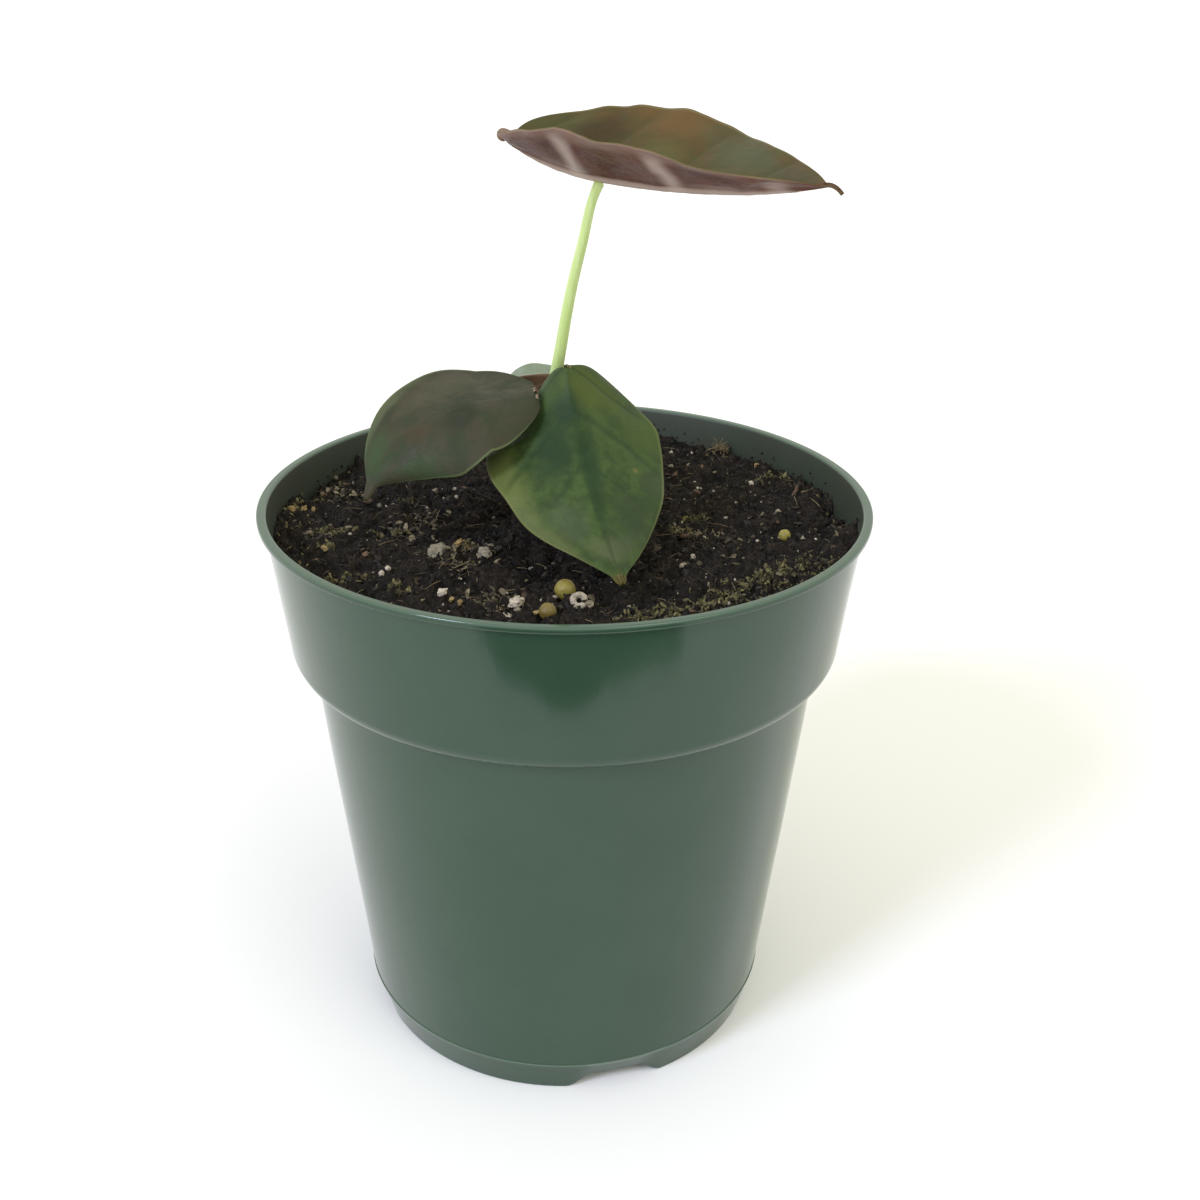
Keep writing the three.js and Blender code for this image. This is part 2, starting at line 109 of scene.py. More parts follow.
def body_radius(height):
    return mixed(PARTING_RADIUS, CREASE_RADIUS, (height - PARTING_HEIGHT) / (CREASE_HEIGHT - PARTING_HEIGHT))


def band_radius(height):
    share = (height - SHOULDER_HEIGHT) / (LIP_UNDERSIDE - SHOULDER_HEIGHT)
    return mixed(BAND_FOOT_RADIUS, BAND_TOP_RADIUS, share)


def rounding(radius, height, size, start, end, steps=4):
    turns = [math.radians(mixed(start, end, i / steps)) for i in range(steps + 1)]
    return [(radius + size * math.cos(turn), height + size * math.sin(turn)) for turn in turns]


def straight(first, last, steps):
    return [tuple(mixed(a, b, i / steps) for a, b in zip(first, last)) for i in range(1, steps)]


def pot_outline():
    edge, foot_edge, lip_edge = EDGE_ROUNDING, FOOT_INNER_ROUNDING, INNER_LIP_ROUNDING
    foot_corner = (FOOT_RADIUS, edge)
    under_flash = (PARTING_RADIUS - PARTING_STEP, FLASH_FOOT)
    over_flash = (PARTING_RADIUS + PARTING_STEP, FLASH_TOP)
    under_bead = (body_radius(BEAD_FOOT), BEAD_FOOT)
    lip_root = (BAND_TOP_RADIUS, LIP_UNDERSIDE)
    inner_lip = BAND_TOP_RADIUS - WALL + INNER_LIP_FLARE
    flare_foot = (band_radius(POT_HEIGHT - INNER_FLARE_DEPTH) - WALL, POT_HEIGHT - INNER_FLARE_DEPTH)
    inner_crease = (CREASE_RADIUS - WALL, CREASE_HEIGHT + WALL)
    inner_foot = (body_radius(FLOOR_TOP) - WALL, FLOOR_TOP)
    shoulder = rounding(CREASE_RADIUS, SHOULDER_HEIGHT, SHOULDER_RADIUS, SHOULDER_START, 0, steps=10)
    inner_shoulder = rounding(CREASE_RADIUS, SHOULDER_HEIGHT, SHOULDER_RADIUS - WALL, 0, -90, steps=6)
    return [
        (FOOT_INNER_RADIUS, FLOOR_UNDERSIDE),
        *rounding(FOOT_INNER_RADIUS + foot_edge, foot_edge, foot_edge, 180, 270, steps=3),
        *rounding(FOOT_RADIUS - edge, edge, edge, -90, 0),
        *straight(foot_corner, under_flash, steps=6),
        under_flash,
        (PARTING_RADIUS + FLASH, PARTING_HEIGHT - FLASH_HALF_EDGE),
        (PARTING_RADIUS + FLASH, PARTING_HEIGHT + FLASH_HALF_EDGE),
        over_flash,
        *straight(over_flash, under_bead, steps=16),
        under_bead,
        *[(CREASE_RADIUS + out * FLASH, CREASE_HEIGHT + rise) for out, rise in CREASE_BEAD],
        *shoulder,
        *straight(shoulder[-1], lip_root, steps=8),
        lip_root,
        *rounding(RIM_RADIUS - edge, LIP_UNDERSIDE + edge, edge, -90, 0),
        *rounding(RIM_RADIUS - edge, POT_HEIGHT - edge, edge, 0, 90),
        *rounding(inner_lip + lip_edge, POT_HEIGHT - lip_edge, lip_edge, 90, 180, steps=6),
        flare_foot,
        *straight(flare_foot, inner_shoulder[0], steps=5),
        *inner_shoulder,
        inner_crease,
        *straight(inner_crease, inner_foot, steps=6),
        inner_foot,
    ]


# How far the foot ring's lower edge stands up at a place round it, in and beside the notches.
def notch_rise(x, y):
    spacing = 360 / DRAINS
    azimuth = math.degrees(math.atan2(x, -y)) - DRAIN_AZIMUTH
    beside = (azimuth + spacing / 2) % spacing - spacing / 2
    inside = NOTCH_WIDTH / 2 - math.hypot(x, y) * abs(math.sin(math.radians(beside)))
    climb = min(1, max(0, inside / NOTCH_SLANT))
    return NOTCH_HEIGHT * climb * climb * (3 - 2 * climb)


def drain_edges(bm, height):
    edges = []
    for i in range(DRAINS):
        turn = math.radians(DRAIN_AZIMUTH - 90 + i * 360 / DRAINS)
        place = Matrix.Rotation(turn, 4, "Z") @ Matrix.Translation((DRAIN_DISTANCE, 0, height))
        oval = place @ Matrix.Diagonal((DRAIN_WIDTH / 2, DRAIN_LENGTH / 2, 1, 1))
        ring = bmesh.ops.create_circle(bm, cap_ends=False, segments=DRAIN_SIDES, radius=1, matrix=oval)
        edges.append(list({edge for vert in ring["verts"] for edge in vert.link_edges}))
    return edges


# A line of points, each as its radius and height, turned round the Z axis.
def spun(profile, sides):
    bm = bmesh.new()
    points = [bm.verts.new((radius, 0, height)) for radius, height in profile]
    line = [bm.edges.new(pair) for pair in zip(points, points[1:])]
    turn = {"cent": (0, 0, 0), "axis": (0, 0, 1), "angle": math.tau}
    bmesh.ops.spin(bm, geom=points + line, steps=sides, use_merge=True, **turn)
    return bm


def pot_mesh():
    bm = spun(pot_outline(), POT_SIDES)
    inside = bm.verts.layers.float.new("inside")
    for vert in bm.verts:
        x, y, z = vert.co
        distance, turn = math.hypot(x, y), math.atan2(y, x)
        in_lip = z > POT_HEIGHT - INNER_LIP_ROUNDING / 2
        vert[inside] = z > SHOULDER_HEIGHT and distance < band_radius(z) - WALL / 2 and not in_lip
        on_inner_foot = distance < (FOOT_INNER_RADIUS + FOOT_RADIUS) / 2
        reach = FLOOR_UNDERSIDE if on_inner_foot else FLASH_FOOT
        if z < reach:
            vert.co.z = mixed(notch_rise(x, y), reach, z / reach)
        off_parting, off_lip = max(0, z - PARTING_HEIGHT), max(0, LIP_UNDERSIDE - z)
        fade = min(1, off_parting / WAVE_FADES[0]) * min(1, off_lip / WAVE_FADES[1])
        wave = sum(share * math.sin(count * turn + z / rise + start) for share, count, rise, start in WAVES)
        vert.co.xy *= 1 + fade * WALL_WAVE * wave / RIM_RADIUS
    rings = []
    for height in (FLOOR_UNDERSIDE, FLOOR_TOP):
        rim = [
            edge
            for edge in bm.edges
            if edge.is_boundary and all(abs(vert.co.z - height) < TOUCHING for vert in edge.verts)
        ]
        drains = drain_edges(bm, height)
        bmesh.ops.triangle_fill(bm, use_beauty=True, edges=rim + [edge for drain in drains for edge in drain])
        rings.append(drains)
    for lower, upper in zip(*rings):
        bmesh.ops.bridge_loops(bm, edges=lower + upper)
    bmesh.ops.recalc_face_normals(bm, faces=bm.faces)
    return bm


# A finished mesh becomes a piece that rides on the plant's one body.
def new_piece(mesh, materials):
    for material in materials:
        mesh.materials.append(material)
    piece = bpy.data.objects.new(mesh.name, mesh)
    bpy.context.scene.collection.objects.link(piece)
    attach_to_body(piece, "root")
    return piece


def mesh_in_metres(bm, name):
    bmesh.ops.scale(bm, vec=(MM, MM, MM), verts=bm.verts)
    mesh = bpy.data.meshes.new(name)
    bm.to_mesh(mesh)
    bm.free()
    return mesh


def piece_from(bm, name, materials, replaces=()):
    mesh = mesh_in_metres(bm, name)
    mesh.shade_smooth()
    piece = new_piece(mesh, materials)
    if replaces:
        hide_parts(*replaces)
    return piece


# Colours are given as they look on a screen, from 0 to 255, and mixed as light.
def seen(red, green, blue):
    return tuple((value / 255) ** 2.2 for value in (red, green, blue)) + (1,)


def plug(tree, socket, value):
    if isinstance(value, bpy.types.NodeSocket):
        tree.links.new(value, socket)
    elif value is not None:
        socket.default_value = value


def node(tree, kind, inputs=(), **settings):
    made = tree.nodes.new(f"ShaderNode{kind}")
    for key, value in settings.items():
        setattr(made, key, value)
    for key, value in dict(inputs).items():
        plug(tree, made.inputs[key], value)
    return made


def calc(tree, operation, *values, clamp=False):
    made = node(tree, "Math", operation=operation, use_clamp=clamp)
    for socket, value in zip(made.inputs, values):
        plug(tree, socket, value)
    return made.outputs[0]


def blend(tree, factor, under, over, kind="MIX"):
    made = node(tree, "Mix", data_type="RGBA", blend_type=kind)
    for socket, value in zip((made.inputs[0], made.inputs[6], made.inputs[7]), (factor, under, over)):
        plug(tree, socket, value)
    return made.outputs[2]


def between(tree, value, low, high, start=0.0, end=1.0):
    ends = {"From Min": low, "From Max": high, "To Min": start, "To Max": end}
    return node(tree, "MapRange", {"Value": value, **ends}, interpolation_type="SMOOTHSTEP").outputs[0]


def new_group(name, inputs, outputs):
    tree = bpy.data.node_groups.new(name, "ShaderNodeTree")
    for label, value in inputs.items():
        kind = "NodeSocketColor" if isinstance(value, tuple) else "NodeSocketFloat"
        tree.interface.new_socket(label, in_out="INPUT", socket_type=kind).default_value = value
    for label, kind in outputs.items():
        tree.interface.new_socket(label, in_out="OUTPUT", socket_type=kind)
    return tree, tree.nodes.new("NodeGroupInput").outputs, tree.nodes.new("NodeGroupOutput").inputs


def placed(tree, group, inputs):
    made = node(tree, "Group", node_tree=group)
    for key, value in inputs.items():
        plug(tree, made.inputs[key], value)
    return made


def new_material(name, roughness, **fixed):
    material = bpy.data.materials.new(name)
    material.use_nodes = True
    shader = material.node_tree.nodes["Principled BSDF"]
    shader.inputs["Roughness"].default_value = roughness
    for label, value in fixed.items():
        shader.inputs[label.replace("_", " ")].default_value = value
    return material, material.node_tree, shader.inputs


def roughen(tree, shader, height, distance):
    bump = node(tree, "Bump", {"Height": height, "Distance": distance})
    tree.links.new(bump.outputs[0], shader["Normal"])


def on_object(tree):
    return node(tree, "TexCoord").outputs["Object"]


def stretched(tree, place, scale):
    return node(tree, "Mapping", {"Vector": place, "Scale": scale}).outputs[0]


def cloudy(tree, place, scale, detail=2.0, roughness=0.5):
    settings = {"Vector": place, "Scale": scale, "Detail": detail, "Roughness": roughness}
    return node(tree, "TexNoise", settings).outputs[0]


# Mottling: soft patches of a second colour with finer flecks in them, and a height for the surface. Both
# sizes are in millimetres.
mottle, given, gives = new_group(
    "mottle",
    {
        "Colour": (1, 1, 1, 1), "Patches": (0, 0, 0, 1), "Size": 8.0, "Amount": 0.5, "Flecks": 0.8,
        "Fleck Size": 1.0,
    },
    {"Colour": "NodeSocketColor", "Height": "NodeSocketFloat"},
)
where = on_object(mottle)
broad = cloudy(mottle, where, calc(mottle, "DIVIDE", 1 / MM, given["Size"]), 4.0, 0.55)
fine = cloudy(mottle, where, calc(mottle, "DIVIDE", 1 / MM, given["Fleck Size"]), 3.0, 0.6)
patchy = calc(mottle, "MULTIPLY", between(mottle, broad, 0.38, 0.66), given["Amount"])
flecked = calc(mottle, "MULTIPLY", between(mottle, fine, 0.35, 0.7, -0.5, 0.5), given["Flecks"])
plug(mottle, gives["Colour"], blend(
    mottle, calc(mottle, "ADD", patchy, flecked, clamp=True), given["Colour"], given["Patches"]
))
plug(mottle, gives["Height"], calc(mottle, "ADD", broad, calc(mottle, "MULTIPLY", fine, 0.3)))


def mottled(tree, colour, patches, size, amount=0.5, flecks=0.8, fleck_size=1.0):
    return placed(tree, mottle, {
        "Colour": colour, "Patches": patches, "Size": size, "Amount": amount, "Flecks": flecks,
        "Fleck Size": fleck_size,
    }).outputs


def height_of(tree, place):
    return node(tree, "SeparateXYZ", {0: place}).outputs["Z"]


def painted(tree, attribute):
    return node(tree, "Attribute", attribute_name=attribute).outputs["Fac"]


# The plastic is painted paler along its edges as a highlight, where the lip, the crease and the flash line
# catch the light. Fine upright flow streaks and scuffs break up its gloss, and the inner wall is duller and
# painted darker, as shade. Each highlighted edge has its height, its reach and its strength.
EDGE_HIGHLIGHTS = ((PARTING_HEIGHT, 0.16, 0.5), (CREASE_HEIGHT - 0.14, 0.3, 0.75), (POT_HEIGHT - 0.1, 0.3, 0.22))
pot_plastic, tree, shader = new_material("green polypropylene", 0.2, IOR=1.5)
skin = mottled(tree, seen(44, 66, 51), seen(49, 70, 55), 16.0, 0.6, 0.15, 0.6)
pot_place = on_object(tree)
streaks = cloudy(tree, stretched(tree, pot_place, (900, 900, 22)), 1.0, 3.0)
scuffs = cloudy(tree, pot_place, 90.0, 5.0, 0.6)
colour = skin["Colour"]
# Painted highlight: each edge is blended towards a pale green where it catches the light.
for height, reach, strength in EDGE_HIGHLIGHTS:
    off_edge = calc(tree, "ABSOLUTE", calc(tree, "SUBTRACT", height_of(tree, pot_place), height * MM))
    edge_glint = calc(tree, "MULTIPLY", between(tree, off_edge, reach * MM, 0.0), strength)
    colour = blend(tree, edge_glint, colour, seen(120, 146, 128))
# Painted shade: the inner wall is darkened, unevenly with the scuffs, and made duller.
inner_wall = painted(tree, "inside")
inner_wall_shade = calc(tree, "MULTIPLY", inner_wall, between(tree, scuffs, 0.3, 0.7, 0.55, 0.9))
colour = blend(tree, inner_wall_shade, colour, seen(52, 54, 45))
tree.links.new(colour, shader["Base Color"])
polish = between(tree, scuffs, 0.35, 0.75, 0.1, 0.17)
tree.links.new(calc(tree, "MULTIPLY_ADD", inner_wall, 0.4, polish), shader["Roughness"])
grain = calc(tree, "ADD", calc(tree, "MULTIPLY", streaks, 0.5), calc(tree, "MULTIPLY", scuffs, 0.5))
roughen(tree, shader, grain, 0.00002)

pot = piece_from(pot_mesh(), "pot_moulding", [pot_plastic], ["pot"])
pot.data.set_sharp_from_angle(angle=math.radians(SHARP_FROM))
pot.modifiers.new("face weighted normals", "WEIGHTED_NORMAL").keep_sharp = True

# The potting mix is moist peat with fine bark and perlite, poured to below the lip and settled. Its
# surface is crumbly and stands a little higher or lower along the wall, and its hollows are painted darker as
# shade.
SOIL_LEVEL = 91.2
SOIL_CELLS = 290
SOIL_GAP = 0.04
SWELL = {"height": 0.7, "along_x": 8.5, "along_y": 7.2, "start_x": 0.8, "start_y": -0.4}
RIPPLE = {"height": 0.35, "along_x": 4.6, "along_y": -5.4, "start": 2}
CLODS = {"height": 0.8, "size": 5.5, "octaves": 3}
LUMPS = {"height": 1.9, "size": 2.7, "octaves": 5, "finer_by": 0.6, "middle": 0.45}
CRUMBLE_SLICE = 3
CROWN = Vector((-2.8, 0.5))
MOUND = {"height": 1.5, "reach": 6.5}
# How far below the lip the mix meets the wall, at azimuths from the front over the right, in degrees.
WALL_DEPTHS = (
    (0, 5.6), (60, 5.4), (76, 3.2), (86, 3.4), (92, 7.2), (101, 8.4),
    (106, 5.2), (120, 5.8), (147, 6.0), (155, 5.0), (200, 5.6), (240, 5.4),
    (247, 6.7), (254, 7.4), (262, 4.6), (275, 4.8), (300, 5.6), (360, 5.6),
)
WALL_REACH = 8
MIX_EDGE = 48.4


def bell(share):
    return math.exp(-(share**2))


def soil_height(x, y):
    broad = math.sin(x / SWELL["along_x"] + SWELL["start_x"])
    broad *= math.cos(y / SWELL["along_y"] + SWELL["start_y"])
    slanting = math.sin(x / RIPPLE["along_x"] + y / RIPPLE["along_y"] + RIPPLE["start"])
    height = SOIL_LEVEL + SWELL["height"] * broad + RIPPLE["height"] * slanting
    height += MOUND["height"] * bell((Vector((x, y)) - CROWN).length / MOUND["reach"])
    azimuth = math.degrees(math.atan2(x, -y)) % 360
    at_wall = POT_HEIGHT - np.interp(azimuth, *zip(*WALL_DEPTHS))
    near_wall = min(1, max(0, 1 - (MIX_EDGE - math.hypot(x, y)) / WALL_REACH))
    return mixed(height, at_wall, near_wall * near_wall)


def crumble(x, y):
    place = Vector((x, y, CRUMBLE_SLICE))
    finer = LUMPS["finer_by"]
    lumps = noise.turbulence(place / LUMPS["size"], LUMPS["octaves"], True, amplitude_scale=finer)
    clods = noise.fractal(place / CLODS["size"], 1, 2, CLODS["octaves"])
    return CLODS["height"] * clods + LUMPS["height"] * (lumps - LUMPS["middle"])


def soil_mesh():
    bm = bmesh.new()
    bmesh.ops.create_grid(bm, x_segments=SOIL_CELLS, y_segments=SOIL_CELLS, size=1)
    hollow = bm.verts.layers.float.new("hollow")
    radius = band_radius(SOIL_LEVEL) - WALL - SOIL_GAP
    for vert in bm.verts:
        u, v, _ = vert.co
        x, y = u * math.sqrt(1 - v * v / 2), v * math.sqrt(1 - u * u / 2)
        x, y = x * radius, y * radius
        relief = crumble(x, y)
        height = soil_height(x, y) + relief
        grip = (band_radius(height) - WALL - SOIL_GAP) / radius
        vert.co = (x * grip, y * grip, height)
        vert[hollow] = 0.5 - 0.5 * relief
    edge = [edge for edge in bm.edges if edge.is_boundary]
    down = (
        (SHOULDER_HEIGHT, BAND_FOOT_RADIUS),
        (CREASE_HEIGHT + WALL, CREASE_RADIUS),
        (FLOOR_TOP, body_radius(FLOOR_TOP)),
    )
    for height, wall_radius in down:
        grown = bmesh.ops.extrude_edge_only(bm, edges=edge)["geom"]
        for vert in grown:
            if isinstance(vert, bmesh.types.BMVert):
                vert.co.xy *= (wall_radius - WALL - SOIL_GAP) / vert.co.xy.length
                vert.co.z = height + SOIL_GAP
        edge = [item for item in grown if isinstance(item, bmesh.types.BMEdge) and item.is_boundary]
    bmesh.ops.holes_fill(bm, edges=edge, sides=0)
    bmesh.ops.recalc_face_normals(bm, faces=bm.faces)
    return bm


peat, tree, shader = new_material("moist peat", 0.8, Specular_IOR_Level=0.2)
peat_skin = mottled(tree, seen(23, 20, 17), seen(52, 44, 36), 3.0, 0.5, 1.0, 0.45)
# Painted shade: the mix is darkened towards near black in the hollows of its relief.
hollow_shade = between(tree, painted(tree, "hollow"), 0.35, 0.85)
tree.links.new(blend(tree, hollow_shade, peat_skin["Colour"], seen(9, 8, 7)), shader["Base Color"])
roughen(tree, shader, peat_skin["Height"], 0.0004)

piece_from(soil_mesh(), "potting_mix", [peat], ["soil"])

# Loose crumbs of the mix lie all over it: dark peat, brown bark, grey and white perlite, tan root fibre,
# and olive algae in bands along the wall. Each kind is one piece, strewn from up to four shapes.
dice = random.Random(11)
DENT_SIZES = (1.7, 4.1)
FINE_DENTS = 0.4


def lump_shape(subdivisions, roughness, seed):
    bm = bmesh.new()
    bmesh.ops.create_icosphere(bm, subdivisions=subdivisions, radius=1)
    for vert in bm.verts:
        push = 1 + roughness * noise.noise(vert.co * DENT_SIZES[0] + Vector((seed, 0, 0)))
        push += FINE_DENTS * roughness * noise.noise(vert.co * DENT_SIZES[1] + Vector((0, seed, 0)))
        vert.co *= push
    return bm


def lump_shapes(subdivisions, roughness, seeds):
    return [lump_shape(subdivisions, roughness, seed) for seed in seeds]


# Copies of the shapes, each at a place with a size in millimetres and a tint from 0 to 1.
def strewn(name, shapes, places, material, smooth=True):
    templates = []
    for shape in shapes:
        shape.verts.index_update()
        points = np.array([vert.co for vert in shape.verts])
        templates.append((points, [[vert.index for vert in face.verts] for face in shape.faces]))
    points, faces, tints, count = [], [], [], 0
    for i, (place, turn, size, tint) in enumerate(places):
        shape, corners = templates[i % len(templates)]
        turned = (shape * np.array(size)) @ np.array(turn.to_matrix()).T + np.array(place)
        points.append(turned * MM)
        faces += [[count + corner for corner in face] for face in corners]
        tints += [tint] * len(shape)
        count += len(shape)
    for shape in shapes:
        shape.free()
    mesh = bpy.data.meshes.new(name)
    mesh.from_pydata(np.concatenate(points).tolist(), [], faces)
    mesh.attributes.new("tint", "FLOAT", "POINT").data.foreach_set("value", tints)
    if smooth:
        mesh.shade_smooth()
    new_piece(mesh, [material])


def any_turn():
    return Euler([dice.uniform(0, math.tau) for _ in range(3)])


def flat_turn(lean):
    return Euler((dice.uniform(-lean, lean), dice.uniform(-lean, lean), dice.uniform(0, math.tau)))


def on_soil(x, y, size, sink=0.3):
    return (x, y, soil_height(x, y) + crumble(x, y) + size * (1 - 2 * sink))


def anywhere(spread):
    turn, distance = dice.uniform(0, math.tau), spread * math.sqrt(dice.random())
    return distance * math.cos(turn), distance * math.sin(turn)


def near(x, y, reach_x, reach_y):
    return x + reach_x * dice.gauss(0, 0.5), y + reach_y * dice.gauss(0, 0.5)


# Most are near the least size, and a few come up to extra above it.
def mostly_small(least, extra, power):
    return least + extra * dice.random() ** power


def grain_material(name, dark, light, roughness, bump=0.0003):
    material, tree, shader = new_material(name, roughness)
    speckled = mottled(tree, blend(tree, painted(tree, "tint"), dark, light), dark, 1.2, 0.4, 0.5, 0.25)
    tree.links.new(speckled["Colour"], shader["Base Color"])
    roughen(tree, shader, speckled["Height"], bump)
    return material


# Crumbs of dark peat, broken up and sieved, lie loose and evenly over the whole mix. They are angular, most
# of them about half a millimetre long, and almost half sunk in it.
PEAT_CRUMBS = 5200
PEAT_SPREAD = 47.4

peat_crumb = grain_material("peat crumb", seen(18, 16, 14), seen(60, 51, 43), 0.85)
crumbs = []
for _ in range(PEAT_CRUMBS):
    x, y = anywhere(PEAT_SPREAD)
    size = mostly_small(0.16, 0.42, 3)
    stretch = (1.3 * size, size * dice.uniform(0.5, 0.9), size * dice.uniform(0.35, 0.7))
    crumbs.append((on_soil(x, y, size, 0.4), any_turn(), stretch, mostly_small(0, 1, 2.6)))
strewn("peat_crumbs", lump_shapes(1, 1.6, range(3)), crumbs, peat_crumb, smooth=False)

# Grey shreds of dry litter lie flat on the mix and gather in drifts, each given as X, Y and its reach
# along both.
LITTER = 760
LITTER_DRIFTS = (
    (-41.5, 14.3, 4, 4), (-15, -12.5, 4, 3), (-17, -19, 4, 3), (-40, -5, 5, 3), (-23.6, 2.9, 4, 3),
    (-10, -30, 5, 3), (29, 39, 2, 4), (24, -4, 6, 6), (-26, -2, 6, 5),
)
LITTER_IN_DRIFTS = 0.7
DRIFT_SPREAD = 46.8


def in_drifts(drifts, share=1.0):
    while True:
        x, y = anywhere(DRIFT_SPREAD)
        if dice.random() < share:
            x, y = near(*dice.choice(drifts))
        if math.hypot(x, y) < DRIFT_SPREAD:
            return x, y


litter = grain_material("grey litter", seen(50, 45, 36), seen(136, 124, 98), 0.9)
shreds = []
for _ in range(LITTER):
    x, y = in_drifts(LITTER_DRIFTS, LITTER_IN_DRIFTS)
    size = mostly_small(0.18, 0.5, 2.4)
    stretch = (1.2 * size, size * dice.uniform(0.4, 0.9), size * 0.4)
    shreds.append((on_soil(x, y, 0.5 * size, 0.1), flat_turn(0.9), stretch, mostly_small(0, 1, 1.6)))
strewn("grey_litter", lump_shapes(1, 1.6, (31, 33)), shreds, litter, smooth=False)

# Chips of fine brown bark are among the broadest grains of the mix. They are milled, so that their edges are
# worn round, and lie loose and nearly flat.
BARK_CHIPS = 60
BARK_SPREAD = 46

bark = grain_material("fine bark", seen(42, 30, 23), seen(100, 76, 56), 0.75)
chips = []
for _ in range(BARK_CHIPS):
    x, y = anywhere(BARK_SPREAD)
    size = mostly_small(0.5, 1.1, 2)
    stretch = (size, size * dice.uniform(0.35, 0.7), size * 0.3)
    chips.append((on_soil(x, y, 0.3 * size), flat_turn(0.6), stretch, mostly_small(0, 1, 1.5)))
strewn("bark_chips", [lump_shape(2, 0.7, 9), lump_shape(2, 0.9, 14)], chips, bark)

# Tan root fibres lie about, a few of them in the drifts, and a dead tuft of them stands at the back wall,
# given as X, Y and its reach. One strand is a thin bent rod, two long before it is stretched.
FIBRES = 420
FIBRES_IN_DRIFTS = 0.3
FIBRE_WIDTH = 0.7
TUFT = (28.9, 37.6, 1.5)
TUFT_STRANDS = 80
TUFT_FIBRE_WIDTH = 0.8
TUFT_SPREAD = 47
STRAND_RADII = (0.1, 0.06)
STRAND_BENDS = ((0.28, 1.7), (0.12, 2.3))


def strand_shape():
    bm = bmesh.new()
    thick, thin = STRAND_RADII
    bmesh.ops.create_cone(bm, cap_ends=True, segments=4, radius1=thick, radius2=thin, depth=2)
    long_edges = [edge for edge in bm.edges if abs(edge.verts[0].co.z - edge.verts[1].co.z) > 1]
    bmesh.ops.subdivide_edges(bm, edges=long_edges, cuts=4, use_grid_fill=True)
    (sway, sway_turn), (lift, lift_turn) = STRAND_BENDS
    for vert in bm.verts:
        x, y, z = vert.co
        vert.co = (z, y + sway * math.sin(sway_turn * z), x + lift * math.cos(lift_turn * z))
    bmesh.ops.recalc_face_normals(bm, faces=bm.faces)
    return bm


fibre = grain_material("root fibre", seen(46, 38, 30), seen(140, 122, 88), 0.7)
strands = []
for _ in range(FIBRES):
    x, y = in_drifts(LITTER_DRIFTS, FIBRES_IN_DRIFTS)
    stretch = (mostly_small(0.5, 1.6, 2), FIBRE_WIDTH, FIBRE_WIDTH)
    strands.append((on_soil(x, y, 0.25, 0), flat_turn(0.3), stretch, mostly_small(0, 1, 1.6)))
for _ in range(TUFT_STRANDS):
    x, y = near(*TUFT, TUFT[2])
    inward = min(1, TUFT_SPREAD / math.hypot(x, y))
    length = dice.uniform(0.6, 1.3)
    place = on_soil(x * inward, y * inward, length * dice.uniform(0.4, 1.4), 0)
    stretch = (length, TUFT_FIBRE_WIDTH, TUFT_FIBRE_WIDTH)
    strands.append((place, any_turn(), stretch, dice.uniform(0.4, 1)))
strewn("root_fibres", [strand_shape()], strands, fibre)

# Specks of perlite lie loose and evenly over the mix: the dust that rubs off its coarse grains when the mix
# is turned.
FINE_PERLITE = 190
PERLITE_SPREAD = 46.5

perlite = grain_material("perlite", seen(104, 98, 84), seen(196, 188, 172), 0.9)
specks = []
for _ in range(FINE_PERLITE):
    x, y = anywhere(PERLITE_SPREAD)
    size = mostly_small(0.12, 0.3, 2)
    specks.append((on_soil(x, y, size), any_turn(), (size, size * 0.85, size * 0.7), dice.random()))
strewn("fine_perlite", lump_shapes(1, 0.6, (4,)), specks, perlite)

# Where algae and moss have grown: bands along the wall as azimuths right of the front, with the depth that
# they reach in from it and how thickly they lie, then the drifts as X, Y and their reach along both, and
# the broad band at the front right as points along its middle. Both are broken into clumps.
ALGAE_CRUMBS = 3600
ALGAE_BANDS = (
    (12, 66, 9, 0.6), (66, 120, 3, 0.25), (-62, -20, 3, 0.25), (-115, -62, 5, 0.5), (150, 250, 2.5, 0.2),
)
BANDS_SHARE = 0.2
MOSS_DRIFTS = (
    (-46.3, 4.2, 1, 2), (-41, -5.3, 2.5, 0.5), (-36.5, -5.6, 2, 0.6), (-29.2, -4.9, 2.6, 0.8),
    (-38.6, -12.4, 1.2, 0.8), (-33.6, -22.9, 4.5, 2.5), (-24.5, -28.2, 3, 1.2), (-16.4, -12.5, 1.5, 2),
    (-10, -30.2, 1.2, 1), (-28.6, 10.8, 2, 1.4), (37.3, 20.8, 3, 2), (22, 5, 2.5, 1), (20, -3, 3, 3),
)
MOSS_BAND = ((11, -36.5), (14.9, -34.5), (20, -31.5), (25.4, -27.5), (30, -25), (35.4, -21), (39.6, -16.4))
MOSS_BAND_REACH = (3.4, 3.0)
MOSS_BAND_SHARE = 0.5
CLUMPS = {"size": 1.6, "least": 0.02}
AT_WALL = 47.9
ALGAE_SPREAD = 48


def on_moss_band():
    start = dice.randrange(len(MOSS_BAND) - 1)
    share = dice.random()
    x, y = (mixed(a, b, share) for a, b in zip(MOSS_BAND[start], MOSS_BAND[start + 1]))
    return near(x, y, *MOSS_BAND_REACH)


def from_axis(distance, azimuth):
    return distance * math.sin(azimuth), -distance * math.cos(azimuth)


